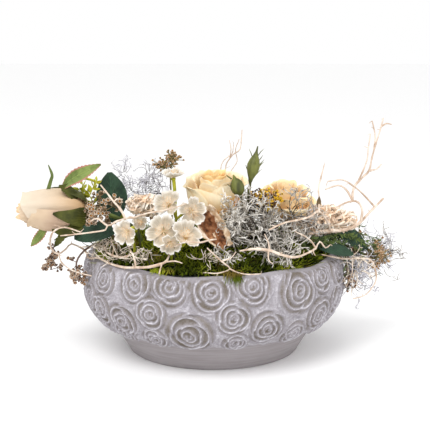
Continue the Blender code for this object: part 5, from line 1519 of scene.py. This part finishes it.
def make_spray(name, node, materials, foot, bends, head, toward, spread, count, size, seed,
               finishes=((1, 2, 0),), depth=0.45, extra=(), bunches=7, heaps=()):
    """A planted stem with bunches of stalks that fork to tiny florets."""
    draw = random.Random(seed)
    whole = joined([stem([(*foot, ROOT), (*foot, 118)] + bends + [head], 1.2, 0.9, 6)] + list(extra))
    tangle(whole, draw, heaps)
    way = Vector(toward)
    tip = Vector(head)
    start = Vector(bends[-1])
    bunch_stalks = []
    for _ in range(bunches):
        root = tip.lerp(start, draw.uniform(0.0, depth))
        out = (way + any_way(draw) * 1.1).normalized()
        bunch_stalks.append((root, root + out * spread * draw.uniform(0.45, 0.8)))
    heads = [[] for _ in finishes]
    runs = []
    for root, aim in bunch_stalks:
        bow = any_way(draw) * spread * 0.06
        runs.append(in_metres(root, root.lerp(aim, 0.4) + bow, root.lerp(aim, 0.75) + bow, aim))
    for index in range(count):
        root, aim = bunch_stalks[index % bunches]
        out = ((aim - root).normalized() * 0.9 + any_way(draw) * 1.1).normalized()
        fork = aim.lerp(root, draw.uniform(0.0, 0.35))
        end = fork + out * spread * draw.uniform(0.14, 0.34)
        bend = fork.lerp(end, 0.5) + any_way(draw) * spread * 0.02
        runs.append(in_metres(fork, fork.lerp(bend, 0.5), bend, end))
        face = ((end - bend).normalized() + any_way(draw) * 0.5 + Vector((0, -0.4, 0.2))).normalized()
        turn = frame_along(end * MM, face, draw.uniform(0, TAU))
        place = turn @ Matrix.Scale(size * draw.uniform(0.75, 1.2) * MM, 4)
        heads[draw.randrange(len(heads))].append(place)
    Strand(3, 3, 0).strew(whole, runs, [[0.55 * MM, 0.45 * MM, 0.4 * MM, 0.4 * MM]] * len(runs))
    for places, finish in zip(heads, finishes):
        strewn(floret(finish), places, whole)
    show(name, whole, materials, [node])


def make_sprays():
    """The six dried sprays and the yellow filler."""
    dried = [DRY_STEM, DRY_RIM, DRY_EYE]
    olive = [OLIVE_STEM, TAN_RIM, DRY_EYE]
    plum = [PLUM_STEM, DRY_RIM, DRY_EYE]
    make_spray("top_spray", "spray_top", olive, (-44, 14), [(-46, 16, 160)],
               (-47, 20, 191), (0, -0.1, 1.2), 27, 140, 1.25, 11, depth=0.3, bunches=11)
    make_spray("left_spray", "spray_left", dried, (-100, -52),
               [(-103, -54, 132), (-107, -58, 150)],
               (-117, -62, 163), (-0.15, -0.2, 0.25), 25, 170, 2.05, 12, bunches=17)
    make_spray("low_left_spray", "spray_low_left", plum, (-98, 12),
               [(-112, 4, 124), (-142, -14, 127), (-167, -28, 117)], (-172, -30, 90), (-0.1, -0.1, -0.3),
               13, 100, 1.8, 13, depth=1.0, bunches=13)
    make_spray("rim_left_spray", "spray_rim_left", plum, (-108, -26),
               [(-118, -38, 121), (-131, -52, 118), (-141, -58, 105)], (-139, -58, 84),
               (0.0, -0.15, -0.3), 13, 90, 1.8, 14, depth=1.0, bunches=12)
    draw = random.Random(18)
    sprigs = []
    for places in ([(120, -2, 121), (134, -10, 124), (150, -16, 121), (164, -18, 112)],
                   [(120, -2, 121), (138, -2, 130), (152, 0, 132), (164, 2, 130)],
                   [(122, 8, 122), (142, -4, 122), (162, -8, 117), (178, -8, 106)],
                   [(122, 8, 122), (136, -14, 116), (150, -22, 113), (160, -24, 104)],
                   [(122, 8, 122), (146, 4, 125), (166, 4, 120), (182, 2, 116)],
                   [(134, -10, 124), (142, -22, 126), (150, -28, 124), (158, -30, 118)]):
        sprigs += leafy_sprig(places, 7.0, 1.5, 30, draw, (3, 3))
    make_spray("right_spray", "spray_right", olive + [SMALL_GREEN], (104, 2),
               [(122, 8, 122), (150, 10, 121)], (175, 2, 98), (0.2, -0.3, -0.8), 27, 190, 1.5, 15,
               extra=sprigs, bunches=16)
    sprigs = []
    for places in ([(122, -12, 112), (136, -22, 105), (143, -22, 92), (145, -20, 78), (143, -18, 64)],
                   [(122, -12, 112), (138, -12, 104), (148, -12, 92), (150, -12, 80)],
                   [(122, -12, 112), (134, -32, 106), (139, -38, 96), (141, -38, 86)]):
        sprigs += leafy_sprig(places, 7.0, 1.2, 26, draw, (0, 3))
    # Finish 1, the dried rim colour, also forms the lichen heap's darker heart as painted shade.
    make_spray("low_right_spray", "spray_low_right", plum + [SMALL_GREEN, LICHEN],
               (110, -4),
               [(124, -8, 122), (142, -14, 106)], (148, -14, 84), (0.0, -0.1, -0.8), 26, 44, 1.5, 16,
               extra=sprigs, heaps=[((153, -8, 79), (24, 14, 34), 210, 3.2, 0.42, 4)])
    make_spray("yellow_florets", "yellow_filler", [BROWN_BIT, YELLOW], (50, -46),
               [(50, -46, 150)], (52, -50, 166), (0.1, -0.5, 0.4), 24, 180, 1.4, 17,
               ((1, 0, 1), (1, 1, 0), (0, 0, 0), (1, 1, 1), (1, 1, 1)), bunches=13)


# Silver bush


def wandering(draw, centre, size, count, stride):
    """Wiry curled runs that fork from one another and slow down at the edge of an egg-shaped room."""
    centre = Vector(centre)
    size = Vector(size)
    runs = []
    for index in range(count):
        if index < 16:
            out = any_way(draw)
            start = centre + Vector([out[axis] * size[axis] * 0.5 * draw.random() for axis in range(3)])
            heading = (out + Vector((0.0, -0.1, 0.2))).normalized()
        else:
            parent = runs[int(len(runs) * draw.random() ** 1.2)]
            joint = draw.randrange(1, len(parent))
            start = parent[joint]
            way = (parent[joint] - parent[joint - 1]).normalized()
            heading = (way + any_way(draw) * 1.4).normalized()
        run = [start]
        curl = Matrix.Rotation(draw.uniform(0.05, 0.55), 3, any_way(draw))
        for _ in range(7):
            off = run[-1] - centre
            far = math.sqrt(sum((off[axis] / size[axis]) ** 2 for axis in range(3)))
            heading = (curl @ heading + any_way(draw) * 0.14).normalized()
            step = stride * draw.uniform(0.6, 1.3) * (1.0 if far < 0.95 else 0.3)
            run.append(run[-1] + heading * step)
        runs.append(run)
    return runs


def tangle(whole, draw, heaps):
    """Heaps of forking twigs, each over a heart of darker twigs that is painted shade."""
    taper = (1.0, 1.0, 0.97, 0.94, 0.9, 0.86, 0.8, 0.45)
    for middle, size, count, stride, thick, finish in heaps:
        dense = 3 if count > 400 else 12
        # Layer 1 is the darker heart: strands put in as painted shade in the heap's depth.
        for layer, share, number in ((1, 0.74, count // dense), (finish, 1.0, count)):
            runs = wandering(draw, middle, Vector(size) * share, number, stride)
            scale = [[thick * MM * part * draw.uniform(0.75, 1.15) for part in taper] for _ in runs]
            Strand(3, 7, layer).strew(whole, [in_metres(*run) for run in runs], scale)
    return whole


def make_bush(name, node, foot, core, heaps, seed, finishes):
    """A bush of felted twigs on its old dark stem."""
    whole = joined([stem([(*foot, ROOT), (*foot, 120), core], 1.6, 1.2, 6, finish=1)])
    show(name, tangle(whole, random.Random(seed), heaps), finishes, [node])


def make_silver_bush():
    """The silver bush tufts: in the middle, at the left back and at the right."""
    make_bush("centre_bush", "silver_bush_centre", (56, -64), (50, -72, 146), [
        ((40, -73, 146), (35, 22, 38), 560, 3.8, 0.55, 0),
        ((64, -84, 128), (33, 16, 18), 200, 3.9, 0.54, 0),
        ((79, -61, 154), (34, 17, 31), 200, 4.1, 0.44, 2),
        ((16, -100, 122), (22, 14, 10), 70, 2.9, 0.56, 0),
        ((74, -98, 119), (30, 12, 8), 40, 2.8, 0.48, 0),
        ((33, -80, 166), (12, 10, 20), 60, 2.9, 0.5, 0),
    ], 21, [SILVER, OLD_WOOD_AND_SHADE, THIN_TWIG])
    make_bush("left_back_bush", "silver_bush_left_back", (-66, 30), (-76, 32, 160), [
        ((-76, 32, 163), (34, 16, 24), 240, 2.7, 0.42, 0),
        ((-98, 30, 184), (13, 10, 22), 40, 3.0, 0.4, 0),
        ((-70, 30, 184), (24, 12, 14), 46, 3.0, 0.4, 0),
    ], 22, [LICHEN, OLD_WOOD_AND_SHADE])
    make_bush("right_bush", "silver_bush_right", (106, 34), (172, 26, 92), [
        ((170, 24, 94), (41, 20, 44), 290, 3.2, 0.4, 0),
        ((189, 16, 92), (20, 12, 34), 80, 3.2, 0.4, 2),
        ((146, 16, 112), (21, 14, 13), 90, 2.8, 0.42, 0),
    ], 23, [LICHEN, OLD_WOOD_AND_SHADE, THIN_TWIG])


# Stage


def make_stage():
    """A plain pale floor and backdrop, soft light and the camera."""
    bm = bmesh.new()
    bmesh.ops.create_grid(bm, x_segments=1, y_segments=1, size=6.0)
    mesh = bpy.data.meshes.new("floor")
    bm.to_mesh(mesh)
    bm.free()
    pale = bpy.data.materials.new("pale_floor")
    pale.use_nodes = True
    shader = pale.node_tree.nodes["Principled BSDF"]
    shader.inputs["Base Color"].default_value = (0.97, 0.97, 0.97, 1.0)
    shader.inputs["Roughness"].default_value = 1.0
    mesh.materials.append(pale)
    floor = bpy.data.objects.new("floor", mesh)
    bpy.context.scene.collection.objects.link(floor)
    world = bpy.data.worlds.new("studio")
    world.use_nodes = True
    world.node_tree.nodes["Background"].inputs["Color"].default_value = (1.0, 1.0, 1.0, 1.0)
    world.node_tree.nodes["Background"].inputs["Strength"].default_value = 1.0
    bpy.context.scene.world = world
    for name, place, size, power in (
        ("key", (-0.4, -1.0, 1.35), 0.9, 13.5),
        ("fill", (1.2, -0.8, 0.8), 1.2, 3.5),
    ):
        light = bpy.data.lights.new(name, "AREA")
        light.shape = "SQUARE"
        light.size = size
        light.energy = power
        lamp = bpy.data.objects.new(name, light)
        lamp.matrix_world = frame_along(Vector(place), Vector(place) - at(0, 0, 120))
        bpy.context.scene.collection.objects.link(lamp)
    lens = bpy.data.cameras.new("camera")
    lens.lens = 91.26
    lens.sensor_width = 36.0
    camera = bpy.data.objects.new("camera", lens)
    camera.location = (0.0017, -1.1524, 0.3633)
    camera.rotation_euler = (math.radians(79.2), 0.0, 0.0)
    bpy.context.scene.collection.objects.link(camera)
    bpy.context.scene.camera = camera
    bpy.context.scene.view_settings.view_transform = "Standard"


# The arrangement, piece by piece

make_bed()
make_open_rose()
make_second_rose()
make_bud()
make_bud_greenery()
make_green_buds()
make_leaf_sprigs()
make_blossoms()
make_dry_leaf()
make_curls()
make_twigs()
make_sprays()
make_silver_bush()
make_stage()
